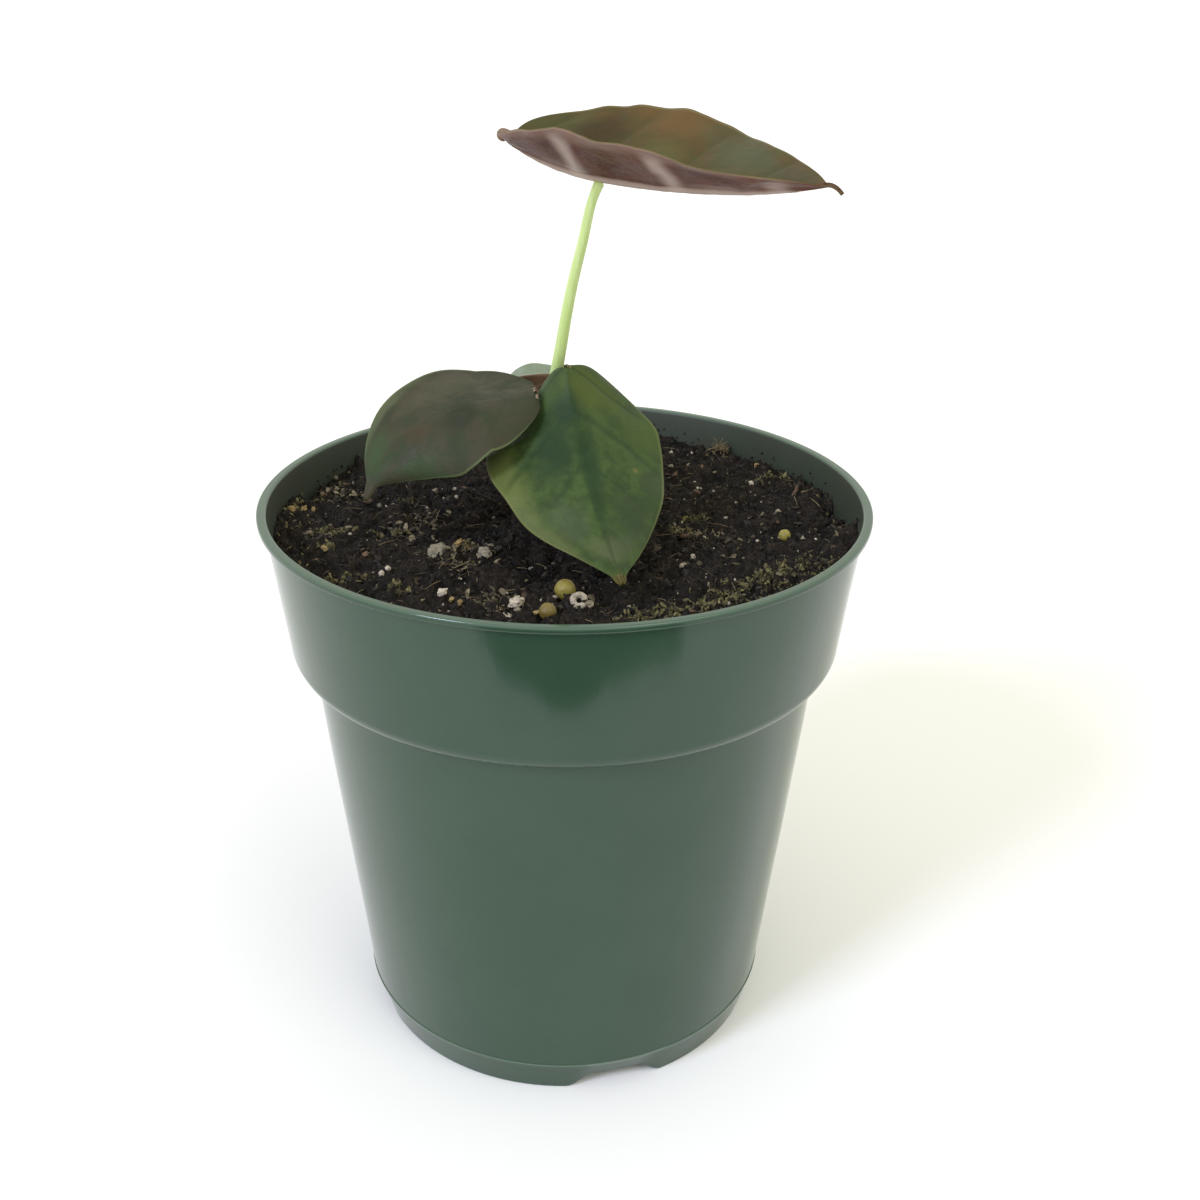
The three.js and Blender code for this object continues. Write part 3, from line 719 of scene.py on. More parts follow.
algae = grain_material("algae crumb", seen(40, 37, 25), seen(130, 122, 80), 0.85)
growth = []
while len(growth) < ALGAE_CRUMBS:
    start, end, reach, density = dice.choice(ALGAE_BANDS)
    azimuth = math.radians(dice.uniform(start, end))
    x, y = from_axis(AT_WALL - reach * dice.random() ** 1.1, azimuth)
    if dice.random() > BANDS_SHARE:
        x, y = on_moss_band() if dice.random() < MOSS_BAND_SHARE else in_drifts(MOSS_DRIFTS)
    elif dice.random() > density:
        continue
    if noise.noise(Vector((x, y, 0)) / CLUMPS["size"]) < CLUMPS["least"] or math.hypot(x, y) > ALGAE_SPREAD:
        continue
    size = mostly_small(0.1, 0.32, 2.2)
    stretch = (1.3 * size, size * dice.uniform(0.5, 0.9), size * 0.6)
    growth.append((on_soil(x, y, size, 0.05), any_turn(), stretch, mostly_small(0, 1, 1.3)))
strewn("algae_crumbs", lump_shapes(1, 1.6, (21, 23, 25)), growth, algae, smooth=False)

# Splashed dirt clings to the wall above the mix, mostly at the right and the back: peat, thickest just
# above the mix and thinner towards the lip.
WALL_DIRT = 170
DIRTY_WALL = (60, 250)
DIRT_START = 0.3
DIRT_RISE = 2.2
CLEAN_LIP = 1.5
dirt = []
for _ in range(WALL_DIRT):
    azimuth = math.radians(dice.uniform(*DIRTY_WALL))
    foot = soil_height(*from_axis(AT_WALL, azimuth)) + DIRT_START
    size = mostly_small(0.1, 0.22, 2)
    height = min(POT_HEIGHT - CLEAN_LIP, mostly_small(foot, DIRT_RISE, 1.6))
    place = (*from_axis(band_radius(height) - WALL - 0.6 * size, azimuth), height)
    dirt.append((place, any_turn(), (size, size * 0.8, size * 0.8), dice.random()))
strewn("wall_dirt", lump_shapes(1, 0.9, (41,)), dirt, peat_crumb)

# The coarse grains of perlite that show one by one, each as X, Y, diameter and tint, and the small ones,
# each as X and Y. Perlite is a foamed volcanic glass, so its grains are pale and knobbly.
COARSE_PERLITE = (
    (-6.6, -32.2, 2.4, 0.9), (-8, -35.3, 2.3, 0.8), (4.3, -31.9, 1.8, 0.6), (-20, -15.7, 3.4, 0.35),
    (-12.7, -14.7, 2.5, 0.5), (-17.9, -29.4, 1.8, 1), (-12.8, -29.7, 1.7, 0), (40, -2, 1.6, 0.3),
    (19.4, -15.9, 1.2, 0.6), (18.5, -14, 0.9, 0.7), (-13.6, -15.4, 1.3, 0.4), (-6.2, -33.5, 1.2, 0.3),
)
SMALL_PERLITE = (
    (-12.8, -14.1), (-18.1, -29.4), (-23.6, 12.6), (-20.4, 15.6), (-19.7, 11.6), (-17.1, 15.7), (-42.7, 21.1),
    (-33, 9.3), (-27.2, -21.7), (-28, -23.2), (19.4, -12.2), (18.9, -16.3), (23.1, -5.3), (36.6, 5.9),
    (33.1, 19.1), (39.8, -2.1), (41.7, -4.7), (20.8, -13.8), (18.4, 1.1), (22.4, -2.3), (18.9, 27.6),
)

grains = []
for x, y, diameter, tint in COARSE_PERLITE:
    size = diameter / 2
    grains.append((on_soil(x, y, size, 0.4), flat_turn(0.4), (size, 0.85 * size, 0.6 * size), tint))
for x, y in SMALL_PERLITE:
    size = dice.uniform(0.35, 0.6)
    stretch = (size, 0.85 * size, 0.8 * size)
    grains.append((on_soil(x, y, size, 0.2), any_turn(), stretch, dice.uniform(0.3, 1)))
coarse = grain_material("coarse perlite", seen(84, 80, 62), seen(196, 184, 166), 0.9, bump=0.0006)
strewn("coarse_perlite", lump_shapes(4, 0.38, range(2, 6)), grains, coarse)

# Angular tan grains of husk and bark, which lie mostly at the left wall and among the perlite, each given
# as X and Y.
TAN_GRAINS = (
    (-38.5, -13.3), (-43.9, 5.1), (-45.5, 4.6), (-46.8, 1.5), (35.2, 31.2), (-16.4, -30.7), (-15.2, -31.2),
    (-16.4, -11.5), (-15.8, -13.6), (-17, -12.6), (-3.2, -36.6),
)

bits = []
for x, y in TAN_GRAINS:
    size = dice.uniform(0.5, 0.8)
    stretch = (size, 0.7 * size, 0.6 * size)
    bits.append((on_soil(x, y, size, 0.2), any_turn(), stretch, dice.uniform(0.5, 1)))
tan = grain_material("tan grain", seen(104, 84, 50), seen(156, 134, 88), 0.8)
strewn("tan_grains", lump_shapes(3, 0.75, (51,)), bits, tan)

# Round prills of slow-release fertiliser in an olive resin coat, each as X, Y, diameter and tint. They lie
# loose on the mix, a quarter sunk in it.
PRILLS = ((0.6, -28.1, 3.3, 0.7), (-1.7, -37, 2.6, 0.35), (36.9, -2.1, 2.1, 1))

resin = grain_material("fertiliser resin", seen(88, 66, 34), seen(146, 138, 64), 0.5, bump=0.0001)
prills = []
for x, y, diameter, tint in PRILLS:
    prills.append((on_soil(x, y, diameter / 2, 0.25), any_turn(), (diameter / 2,) * 3, tint))
strewn("fertiliser_prills", lump_shapes(4, 0.05, (2,)), prills, resin)

# One grain of perlite has popped into an open ring, which leans back on the mix. Its shape is 1 in radius
# before it is stretched.
RING_PLACE = (2.8, -34.1)
RING_DIAMETER = 2.7
RING_TURN = (0.9, 0, 0.15)
RING_TINT = 0.75
RING_THICKNESS = 0.36
RING_SWEEP = 325
RING_DENTS = {"depth": 0.15, "size": 2.6}


def ring_shape():
    bm = bmesh.new()
    rim = bmesh.ops.create_circle(bm, cap_ends=True, segments=12, radius=RING_THICKNESS)["verts"]
    upright = Matrix.Translation((1 - RING_THICKNESS, 0, 0)) @ Matrix.Rotation(math.pi / 2, 4, "X")
    bmesh.ops.transform(bm, matrix=upright, verts=rim)
    turn = {"cent": (0, 0, 0), "axis": (0, 0, 1), "angle": math.radians(RING_SWEEP)}
    bmesh.ops.spin(bm, geom=list(bm.faces), steps=26, **turn)
    for vert in bm.verts:
        vert.co *= 1 + RING_DENTS["depth"] * noise.noise(vert.co * RING_DENTS["size"])
    bmesh.ops.recalc_face_normals(bm, faces=bm.faces)
    return bm


ring = (on_soil(*RING_PLACE, 0.9, 0.1), Euler(RING_TURN), (RING_DIAMETER / 2,) * 3, RING_TINT)
strewn("ring_perlite", [ring_shape()], [ring], coarse)

# The four leaves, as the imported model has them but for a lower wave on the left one. Attach is where the
# petiole meets the blade, and base, through and approach lead it there from the crown. Angles turn the
# blade at that place, and bends, folds and cups shape it from there on. Values in pairs are for the left
# half and then the right, as seen by somebody looking to the tip.
LEAVES = {
    "top": {
        "attach": (5.2, 0.3, 148.7), "length": 54, "width": 37, "drip_tip": 2.4, "attach_share": 0.32,
        "heading": -28, "pitch": -4, "roll": 7, "bend_tip": -14.5, "bend_base": -22, "twist": 3,
        "fold": (26, 35.5), "cup": (-3, 3.5), "fold_at_tip": 0.55, "fold_at_base": 0.82, "drip_droop": 1.5,
        "base_bluntness": 0.55, "tip_sharpness": 0.82, "notch": 1, "wave": 0.3, "wave_count": 2.5,
        "wave_phase": (0, 0.8), "quilt": 0.45, "veins": 4, "vein_start": 0.0, "vein_lean": 0.12,
        "cells": (104, 160), "base": (-5.2, 1.5), "radii": (1.3, 0.74), "approach": 0, "through": (
            (-4.6, 2.9, 101), (-1.6, 3.4, 117.9), (0.7, 1.7, 131.1), (2.55, 0.8, 139.2), (3.85, 0.4, 145.1)
        ),
    },
    "left": {
        "attach": (-13.3, -4.9, 114.7), "length": 32.2, "width": 26.5, "drip_tip": 2.5, "attach_share": 0.27,
        "heading": 189, "pitch": -6.5, "roll": 15, "bend_tip": 58, "bend_base": 1, "twist": 12,
        "fold": (-23.5, 17), "cup": (-24.5, 7), "fold_at_tip": 1.95, "fold_at_base": 1.2, "drip_droop": 0,
        "base_bluntness": 0.58, "tip_sharpness": 0.93, "notch": 0.8, "wave": 0.12, "wave_count": 3.2,
        "wave_phase": (0.02, 0.9), "quilt": 0.3, "veins": 4, "vein_start": 0.5, "vein_lean": 0.2,
        "cells": (80, 120), "base": (-3.7, -2), "radii": (1.1, 0.65), "approach": 3.5,
        "through": ((-8.3, -1.2, 100), (-12, -1.8, 107)),
    },
    "front": {
        "attach": (1.9, -10.1, 112.1), "length": 39, "width": 30.3, "drip_tip": 1.5, "attach_share": 0.28,
        "heading": -73.5, "pitch": -39.5, "roll": -8, "bend_tip": -10.5, "bend_base": -16, "twist": 8,
        "fold": (-3.5, -24), "cup": (-11, -18.5), "fold_at_tip": 0.7, "fold_at_base": 2.5, "drip_droop": 0,
        "base_bluntness": 0.46, "tip_sharpness": 0.91, "notch": 1, "wave": 0.6, "wave_count": 2.5,
        "wave_phase": (-0.3, 0.95), "quilt": 0.3, "veins": 4, "vein_start": 0.22, "vein_lean": 0.3,
        "cells": (88, 130), "base": (-0.6, -0.8), "radii": (1.1, 0.65), "approach": 5,
        "through": ((-0.4, -2.2, 101),),
    },
    "back": {
        "attach": (-4.1, 11.1, 111.4), "length": 20.9, "width": 12.6, "drip_tip": 1, "attach_share": 0.28,
        "heading": 5, "pitch": -17, "roll": -1.5, "bend_tip": 15.5, "bend_base": 6, "twist": 0,
        "fold": (39.5, 43), "cup": (-1, 2.5), "fold_at_tip": 1, "fold_at_base": 1, "drip_droop": 0,
        "base_bluntness": 0.5, "tip_sharpness": 0.85, "notch": 0.6, "wave": 0.2, "wave_count": 2.5,
        "wave_phase": (0.1, 0.5), "quilt": 0.15, "veins": 3, "vein_start": 0.5, "vein_lean": 0.2,
        "cells": (56, 80), "base": (-1.5, 3.2), "radii": (0.95, 0.6), "approach": 4,
        "through": ((-2.6, 6.4, 101),),
    },
}


def blade_axes(leaf):
    heading, pitch = math.radians(leaf["heading"]), math.radians(leaf["pitch"])
    level = Vector((math.cos(heading), math.sin(heading), 0))
    tipward = level * math.cos(pitch) + Vector((0, 0, math.sin(pitch)))
    upward = Vector((0, 0, math.cos(pitch))) - level * math.sin(pitch)
    upward.rotate(Matrix.Rotation(math.radians(leaf["roll"]), 3, tipward))
    return tipward, upward, upward.cross(tipward)


# The petioles are round and succulent, pale yellow-green, a little greener where they sheathe the crown.
# Each flares where it rises from the mix and again where it grows into the midrib.
PETIOLE_SIDES = 28
PETIOLE_STEPS = 90
PETIOLE_SOCKET = 89.4
JOINT_GAP = 0.85
JOINT_DEPTH = 0.15
BASE_FLARE = {"size": 0.35, "reach": 4}
JOINT_FLARE = {"size": 0.12, "reach": 1.6}
# The stalk is faintly ribbed and oval: size, count round it, and millimetres walked for a radian.
STALK_RIBS = (0.022, 7, 9)
STALK_OVAL = (0.03, 2, 14)
CURVE_STEPS = 24
NO_LENGTH = 1e-4


# Points along a centripetal curve through the given points, evenly spread over its length.
def smooth_path(points, steps):
    points = [Vector(point) for point in points]
    first, last = 2 * points[0] - points[1], 2 * points[-1] - points[-2]
    ring = [first, *points, last]
    fine = []
    for a, b, c, d in zip(ring, ring[1:], ring[2:], ring[3:]):
        before, span, after = (max((p - q).length ** 0.5, NO_LENGTH) for p, q in ((a, b), (b, c), (c, d)))
        leaving = ((b - a) / before - (c - a) / (before + span) + (c - b) / span) * span
        arriving = ((c - b) / span - (d - b) / (span + after) + (d - c) / after) * span
        for i in range(CURVE_STEPS):
            t = i / CURVE_STEPS
            fine.append(
                b * (2 * t**3 - 3 * t**2 + 1) + leaving * (t**3 - 2 * t**2 + t)
                + c * (3 * t**2 - 2 * t**3) + arriving * (t**3 - t**2)
            )
    fine = np.array([*fine, points[-1]])
    walked = np.concatenate(([0], np.cumsum(np.linalg.norm(np.diff(fine, axis=0), axis=1))))
    at = np.linspace(0, walked[-1], steps + 1)
    spread = zip(*(np.interp(at, walked, fine[:, axis]) for axis in range(3)))
    return [Vector(point) for point in spread], walked[-1]


# A tube with rounded ends: radius is a function of the millimetres walked, relief of the turn as well.
def tube(points, steps, sides, radius, relief=lambda turn, walked: 1.0):
    path, length = smooth_path(points, steps)
    bm = spun([(0 if i in (0, steps) else 1, i) for i in range(steps + 1)], sides)
    bmesh.ops.remove_doubles(bm, verts=bm.verts, dist=NO_LENGTH)
    frames = []
    side = Vector((1, 0, 0))
    for i in range(steps + 1):
        ahead = (path[min(i + 1, steps)] - path[max(i - 1, 0)]).normalized()
        side = (side - ahead * side.dot(ahead)).normalized()
        frames.append((path[i], side, ahead.cross(side)))
    for vert in bm.verts:
        x, y, z = vert.co
        row = round(z)
        centre, side, across = frames[row]
        walked = length * row / steps
        size = radius(walked, length) * relief(math.atan2(y, x), walked)
        vert.co = centre + (side * x + across * y) * size
    bmesh.ops.recalc_face_normals(bm, faces=bm.faces)
    return bm


def petiole_route(leaf):
    upward = blade_axes(leaf)[1]
    attach = Vector(leaf["attach"])
    route = [(*leaf["base"], PETIOLE_SOCKET), *leaf["through"]]
    if leaf["approach"]:
        route.append(attach - upward * (JOINT_GAP + leaf["approach"]))
    return [*route, attach - upward * JOINT_DEPTH]


def petiole_mesh(leaf):
    start, end = leaf["radii"]

    def radius(walked, length):
        foot = BASE_FLARE["size"] * bell(walked / BASE_FLARE["reach"])
        joint = JOINT_FLARE["size"] * bell((length - walked) / JOINT_FLARE["reach"])
        return mixed(start, end, walked / length) + foot + joint

    def relief(turn, walked):
        rib, ribs, rib_walk = STALK_RIBS
        oval, ovals, oval_walk = STALK_OVAL
        ribbed = rib * math.sin(ribs * turn + walked / rib_walk)
        return 1 + ribbed + oval * math.cos(ovals * turn - walked / oval_walk)

    return tube(petiole_route(leaf), PETIOLE_STEPS, PETIOLE_SIDES, radius, relief)


# The stalk's colour over its height above the table: brown at the crown, green, then paler from above it.
CROWN_BROWN = (90, 98)
STALK_GREEN = (100, 128)
petiole_skin, tree, shader = new_material(
    "petiole skin", 0.38, Subsurface_Weight=0.25, Subsurface_Scale=0.0012, Subsurface_Radius=(1.0, 0.9, 0.4)
)
stalk_place = on_object(tree)
height = height_of(tree, stalk_place)
streaks = cloudy(tree, stretched(tree, stalk_place, (1500, 1500, 60)), 1.0, 3.0)
paler = between(tree, height, *[end * MM for end in STALK_GREEN])
off_crown = between(tree, height, *[end * MM for end in CROWN_BROWN])
colour = blend(tree, paler, seen(150, 174, 110), seen(188, 210, 134))
colour = blend(tree, off_crown, seen(120, 112, 72), colour)
colour = blend(tree, between(tree, streaks, 0.42, 0.72, 0, 0.5), colour, seen(206, 222, 162))
tree.links.new(colour, shader["Base Color"])
roughen(tree, shader, streaks, 0.0001)

for name, leaf in LEAVES.items():
    piece_from(petiole_mesh(leaf), f"{name}_petiole", [petiole_skin], [f"petiole_{name}"])

# The crown is wrapped in short brown papery sheaths, one round the foot of each petiole: the dry remains
# of older leaf bases, open on one side and torn at the top. Each is given as its height, the azimuth that
# it faces and its radius.
SHEATHS = {"top": (5.6, 20, 1.95), "left": (3.6, 200, 1.7), "front": (3.4, 280, 1.7), "back": (3.4, 80, 1.5)}
SHEATH_CELLS = (36, 16)
SHEATH_FOOT = PETIOLE_SOCKET + 0.4
SHEATH_HALF_WRAP = 118
SHEATH_THICKNESS = 0.16
SHEATH_TAPER = 0.18
SHEATH_FOLDS = {"depth": 0.22, "count": 5}
SHEATH_CURL = 0.5
TEAR = {"depth": 0.55, "power": 1.6, "ragged": 0.16, "teeth": 6}


def sheath_mesh(leaf, tall, facing, radius):
    path, _ = smooth_path(petiole_route(leaf), 60)
    bm = bmesh.new()
    bmesh.ops.create_grid(bm, x_segments=SHEATH_CELLS[0], y_segments=SHEATH_CELLS[1], size=1)
    for vert in bm.verts:
        u, v = vert.co.x, (vert.co.y + 1) / 2
        turn = math.radians(facing + SHEATH_HALF_WRAP * u)
        ragged = TEAR["ragged"] * noise.noise(Vector((TEAR["teeth"] * u, tall, 0))) * v
        rise = SHEATH_FOOT + tall * v * (1 - TEAR["depth"] * abs(u) ** TEAR["power"] + ragged)
        centre = min(path, key=lambda point: abs(point.z - rise))
        size = radius * (1 - SHEATH_TAPER * v) + SHEATH_CURL * v**4 * abs(u)
        size += SHEATH_FOLDS["depth"] * math.sin(SHEATH_FOLDS["count"] * turn) * v
        vert.co = (centre.x + size * math.cos(turn), centre.y + size * math.sin(turn), rise)
    return bm


def husk_material(name, roughness, dark, light, size, fleck_size, bump):
    material, tree, shader = new_material(name, roughness)
    skin = mottled(tree, dark, light, size, 0.7, 0.6, fleck_size)
    tree.links.new(skin["Colour"], shader["Base Color"])
    roughen(tree, shader, skin["Height"], bump)
    return material


papery = husk_material("papery sheath", 0.7, seen(74, 56, 38), seen(122, 100, 68), 3.0, 0.5, 0.0002)
for name, (tall, facing, radius) in SHEATHS.items():
    bm = sheath_mesh(LEAVES[name], tall, facing, radius)
    sheath = piece_from(bm, f"{name}_sheath", [papery])
    thicken = sheath.modifiers.new("thickness", "SOLIDIFY")
    thicken.thickness = SHEATH_THICKNESS * MM
    thicken.offset = 0

# The rhizome is the plant's corm with its crown and roots, grown as one piece inside the mix. The packed
# model's node stays as it is, with the brown skin of a corm.
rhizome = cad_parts["rhizome"]
rhizome.data.materials.clear()
rhizome.data.materials.append(
    husk_material("rhizome skin", 0.75, seen(96, 72, 48), seen(150, 122, 84), 2.5, 0.6, 0.0003)
)

# The blades are leathery, 0.3 mm thick and thinner at the margin, quilted between sunken side veins, with
# a midrib keeled below. Every blade is finely puckered, and its upper side has a dull metallic gloss.
BLADE_THICKNESS = 0.3
MARGIN_THINNING = {"from": 0.8, "to": 0.5}
RIB_THICKNESS = 0.65
RIB_HALF_WIDTH = 0.7
RIB_TAPER = 0.25
VEIN_GROOVE = {"depth": 0.16, "half_width": 0.55}
RIB_GROOVE = {"depth": 0.22, "half_width": 0.6}
PUCKER = {"height": 0.06, "size": 1.7, "slice": 7}
RUFFLE = {"size": 4.5, "slice": 9}
EDGE_HALF_WIDTH = 0.5
BASE_TAPER = {"reach": 0.012, "end": 0.15}
# How the end of each blade draws out into its drip tip: over which share of it, how much wider than the
# margin's half width it is there, and its half width at the very end.
TIP_SHAPES = {
    "top": (0.05, -0.2, 0.12), "left": (0.07, 0.5, 0.1), "front": (0.04, 0.6, 0.2), "back": (0.05, 0, 0.15),
}
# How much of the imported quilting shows, and how far the margin ruffles, in millimetres.
RELIEF = {"top": 1, "left": 0.3, "front": 0.6, "back": 0.6}
RUFFLES = {"top": 0.6, "left": 0.15, "front": 0.4, "back": 0.2}
QUILT_SINK = 0.6
LOBE_SHARE = 0.175
LOBE_FADE = 6
# How fast the relief comes in: with the blade's width, and away from its margin, midrib and base.
FADES = {"dome": 1.5, "width": 3, "margin": 5, "midrib": 6, "base": 8}
# The cells of a blade's mesh crowd a little towards its midrib.
CROWDING = 1.12
FLAT_CUP = 1e-6


def faded(kind, value):
    return min(1, FADES[kind] * value)


def half_width(name, along):
    leaf = LEAVES[name]
    p, q = leaf["base_bluntness"], leaf["tip_sharpness"]
    widest = p / (p + q)
    share = min(1, along * (1 + leaf["drip_tip"] / leaf["length"]))
    outline = share**p * (1 - share) ** q / (widest**p * (1 - widest) ** q)
    reach, extra, end = TIP_SHAPES[name]
    to_end = (1 - along) / reach
    edge = mixed(end, EDGE_HALF_WIDTH, min(1, to_end)) + extra * to_end * math.exp(1 - to_end)
    at_base = mixed(BASE_TAPER["end"], 1, min(1, along / BASE_TAPER["reach"]))
    return math.hypot(outline * leaf["width"] / 2, edge * at_base)


# How far a place of the blade stands off its smooth form: domes between the side veins, grooves along the
# veins and the midrib, fine puckers, and the waves and ruffles of the margin.
def blade_relief(name, share, across, width):
    leaf = LEAVES[name]
    side, out = (1 if across < 0 else 0), abs(across)
    full, walked = width / (leaf["width"] / 2), share * leaf["length"]
    phase = leaf["veins"] * (share - leaf["vein_lean"] * out) + leaf["vein_start"]
    dome = leaf["quilt"] * (abs(math.sin(math.pi * phase)) - QUILT_SINK) * 4 * out * (1 - out)
    off_vein = abs(phase - round(phase)) / leaf["veins"] * leaf["length"]
    inner = faded("width", full) * faded("margin", 1 - out)
    groove = VEIN_GROOVE["depth"] * bell(off_vein / VEIN_GROOVE["half_width"]) * inner * faded("midrib", out)
    groove += RIB_GROOVE["depth"] * bell(width * out / RIB_GROOVE["half_width"]) * faded("width", full)
    pucker = noise.noise(Vector((walked, across * width, PUCKER["slice"])) / PUCKER["size"])
    ruffle = noise.noise(Vector((walked, RUFFLE["slice"] * side, 1)) / RUFFLE["size"])
    ripple = math.sin(math.tau * (leaf["wave_count"] * share + leaf["wave_phase"][side]))
    margin = leaf["wave"] * out**3 * ripple * full + RUFFLES[name] * out**4 * full * ruffle
    return (dome * faded("dome", full) - groove) * RELIEF[name] + PUCKER["height"] * pucker * inner + margin


# A point of the blade's middle surface: along runs from the base (0) to the end of the drip tip (1),
# and across from the right margin (-1) over the midrib to the left margin (1).
def blade_point(name, axes, along, across):
    leaf = LEAVES[name]
    tipward, upward, leftward = (axis.copy() for axis in axes)
    length, attach_share = leaf["length"], leaf["attach_share"]
    run = along * (length + leaf["drip_tip"]) - attach_share * length
    share = min(1, max(0, run / length + attach_share))
    side_length = (attach_share if run < 0 else 1 - attach_share) * length
    bend = math.radians(leaf["bend_base" if run < 0 else "bend_tip"]) / side_length
    turn = bend * run
    midrib = Vector(leaf["attach"]) + tipward * (math.sin(turn) / bend)
    midrib += upward * ((math.cos(turn) - 1) / bend)
    on_drip_tip = max(0, run - (1 - attach_share) * length) / leaf["drip_tip"]
    midrib.z -= leaf["drip_droop"] * on_drip_tip**2
    bending = Matrix.Rotation(turn, 3, leftward)
    tipward.rotate(bending)
    upward.rotate(bending)
    twist = math.radians(leaf["twist"]) * run / length
    upward, leftward = (
        upward * math.cos(twist) + leftward * math.sin(twist),
        leftward * math.cos(twist) - upward * math.sin(twist),
    )
    side = 1 if across < 0 else 0
    out = abs(across)
    at_end = leaf["fold_at_base" if run < 0 else "fold_at_tip"]
    fade = 1 + (at_end - 1) * abs(run) / side_length
    cup = math.radians(leaf["cup"][side]) * fade * out
    slope = math.radians(leaf["fold"][side]) * fade + cup / 2
    width = half_width(name, along)
    straightness = math.sin(cup / 2) / (cup / 2) if abs(cup) > FLAT_CUP else 1
    chord = width * out * straightness
    lobe = (out * width / (LOBE_SHARE * leaf["width"])) ** 2
    lobe_shift = leaf["notch"] * lobe * math.exp(1 - lobe) * (1 - share) ** LOBE_FADE
    rise = chord * math.sin(slope) + blade_relief(name, share, across, width)
    sideways = math.copysign(chord * math.cos(slope), across)
    return midrib + leftward * sideways + upward * rise - tipward * lobe_shift


def blade_mesh(name):
    leaf = LEAVES[name]
    axes = blade_axes(leaf)
    bm = bmesh.new()
    wide, long = leaf["cells"]
    bmesh.ops.create_grid(bm, x_segments=wide, y_segments=long, size=1)
    layer = bm.loops.layers.uv.new("leaf")
    rib = bm.verts.layers.deform.verify()
    for vert in bm.verts:
        across = -math.copysign(abs(vert.co.x) ** CROWDING, vert.co.x)
        along = (1 - math.cos(math.pi * (vert.co.y + 1) / 2)) / 2
        run = along * (leaf["length"] + leaf["drip_tip"])
        for loop in vert.link_loops:
            loop[layer].uv = (run / leaf["length"], 0.5 + across / 2)
        off_rib = abs(across) * half_width(name, along)
        keel = bell(off_rib / RIB_HALF_WIDTH) * min(1, (1 - along) / RIB_TAPER) * faded("base", along)
        thin_from = MARGIN_THINNING["from"]
        near_margin = max(0, (abs(across) - thin_from) / (1 - thin_from)) ** 2
        weight = mixed(BLADE_THICKNESS / RIB_THICKNESS, 1, keel)
        vert[rib][0] = weight * mixed(1, MARGIN_THINNING["to"], near_margin)
        vert.co = blade_point(name, axes, along, across)
    bm.normal_update()
    for vert in bm.verts:
        vert.co += vert.normal * BLADE_THICKNESS / 2
    return bm


# The pattern of a blade, read from its place on it: where the side veins, midrib, margin and finest net
# of veins run. The side veins wander a little, by a share of the gap between them.
WANDER = 0.16
pattern, given, gives = new_group(
    "leaf pattern",
    {"Veins": 4.0, "Vein Start": 0.0, "Vein Lean": 0.2, "Vein Width": 0.16, "Vein End": 0.9},
    dict.fromkeys(("Share", "Across", "Veins", "Midrib", "Margin", "Net"), "NodeSocketFloat"),
)
on_blade = node(pattern, "UVMap", uv_map="leaf").outputs[0]
share, sideways, _ = node(pattern, "SeparateXYZ", {0: on_blade}).outputs
across = calc(pattern, "MULTIPLY_ADD", sideways, 2.0, -1.0)
out = calc(pattern, "ABSOLUTE", across)
lean = calc(pattern, "SUBTRACT", share, calc(pattern, "MULTIPLY", out, given["Vein Lean"]))
wander = cloudy(pattern, on_blade, 5.0, 1.0)
phase = calc(pattern, "MULTIPLY_ADD", lean, given["Veins"], given["Vein Start"])
off_vein = calc(pattern, "PINGPONG", calc(pattern, "MULTIPLY_ADD", wander, WANDER, phase), 0.5)
along_vein = between(pattern, out, 1.05, 0.75)
fading = between(pattern, calc(pattern, "SUBTRACT", share, given["Vein End"]), 0.1, -0.1)
off_ends = calc(pattern, "MULTIPLY", between(pattern, share, 0.03, 0.1), between(pattern, share, 0.99, 0.9))
plug(pattern, gives["Veins"], calc(
    pattern, "MULTIPLY", between(pattern, off_vein, given["Vein Width"], 0.0),
    calc(pattern, "MULTIPLY", along_vein, fading)
))
plug(pattern, gives["Midrib"], calc(pattern, "MULTIPLY", between(pattern, out, 0.09, 0.02), off_ends))
plug(pattern, gives["Margin"], calc(pattern, "MULTIPLY", between(pattern, out, 0.955, 0.99), off_ends))
on_net = {"Vector": stretched(pattern, on_blade, (26, 17, 1)), "Scale": 1.0}
cells = node(pattern, "TexVoronoi", on_net, feature="DISTANCE_TO_EDGE").outputs[0]
plug(pattern, gives["Net"], calc(pattern, "MULTIPLY", between(pattern, cells, 0.09, 0.0), off_ends))
plug(pattern, gives["Share"], share)
plug(pattern, gives["Across"], across)

# A soft patch at a place on the blade, with its reach along and across it, and an uneven outline.
patch, given, gives = new_group(
    "leaf patch",
    {"Share": 0.5, "Across": 0.0, "Place": 0.5, "Side": 0.0, "Long": 0.1, "Wide": 0.2, "Strength": 1.0},
    {"Mask": "NodeSocketFloat"},
)
unevenness = cloudy(patch, node(patch, "UVMap", uv_map="leaf").outputs[0], 6.0)
squares = []
for place, centre, reach in (("Share", "Place", "Long"), ("Across", "Side", "Wide")):
    offset = calc(patch, "DIVIDE", calc(patch, "SUBTRACT", given[place], given[centre]), given[reach])
    squares.append(calc(patch, "MULTIPLY", offset, offset))
distance = calc(patch, "SQRT", calc(patch, "ADD", *squares))
distance = calc(patch, "ADD", distance, calc(patch, "MULTIPLY_ADD", unevenness, 1.4, -0.7))
plug(patch, gives["Mask"], calc(patch, "MULTIPLY", between(patch, distance, 1.35, 0.25), given["Strength"]))
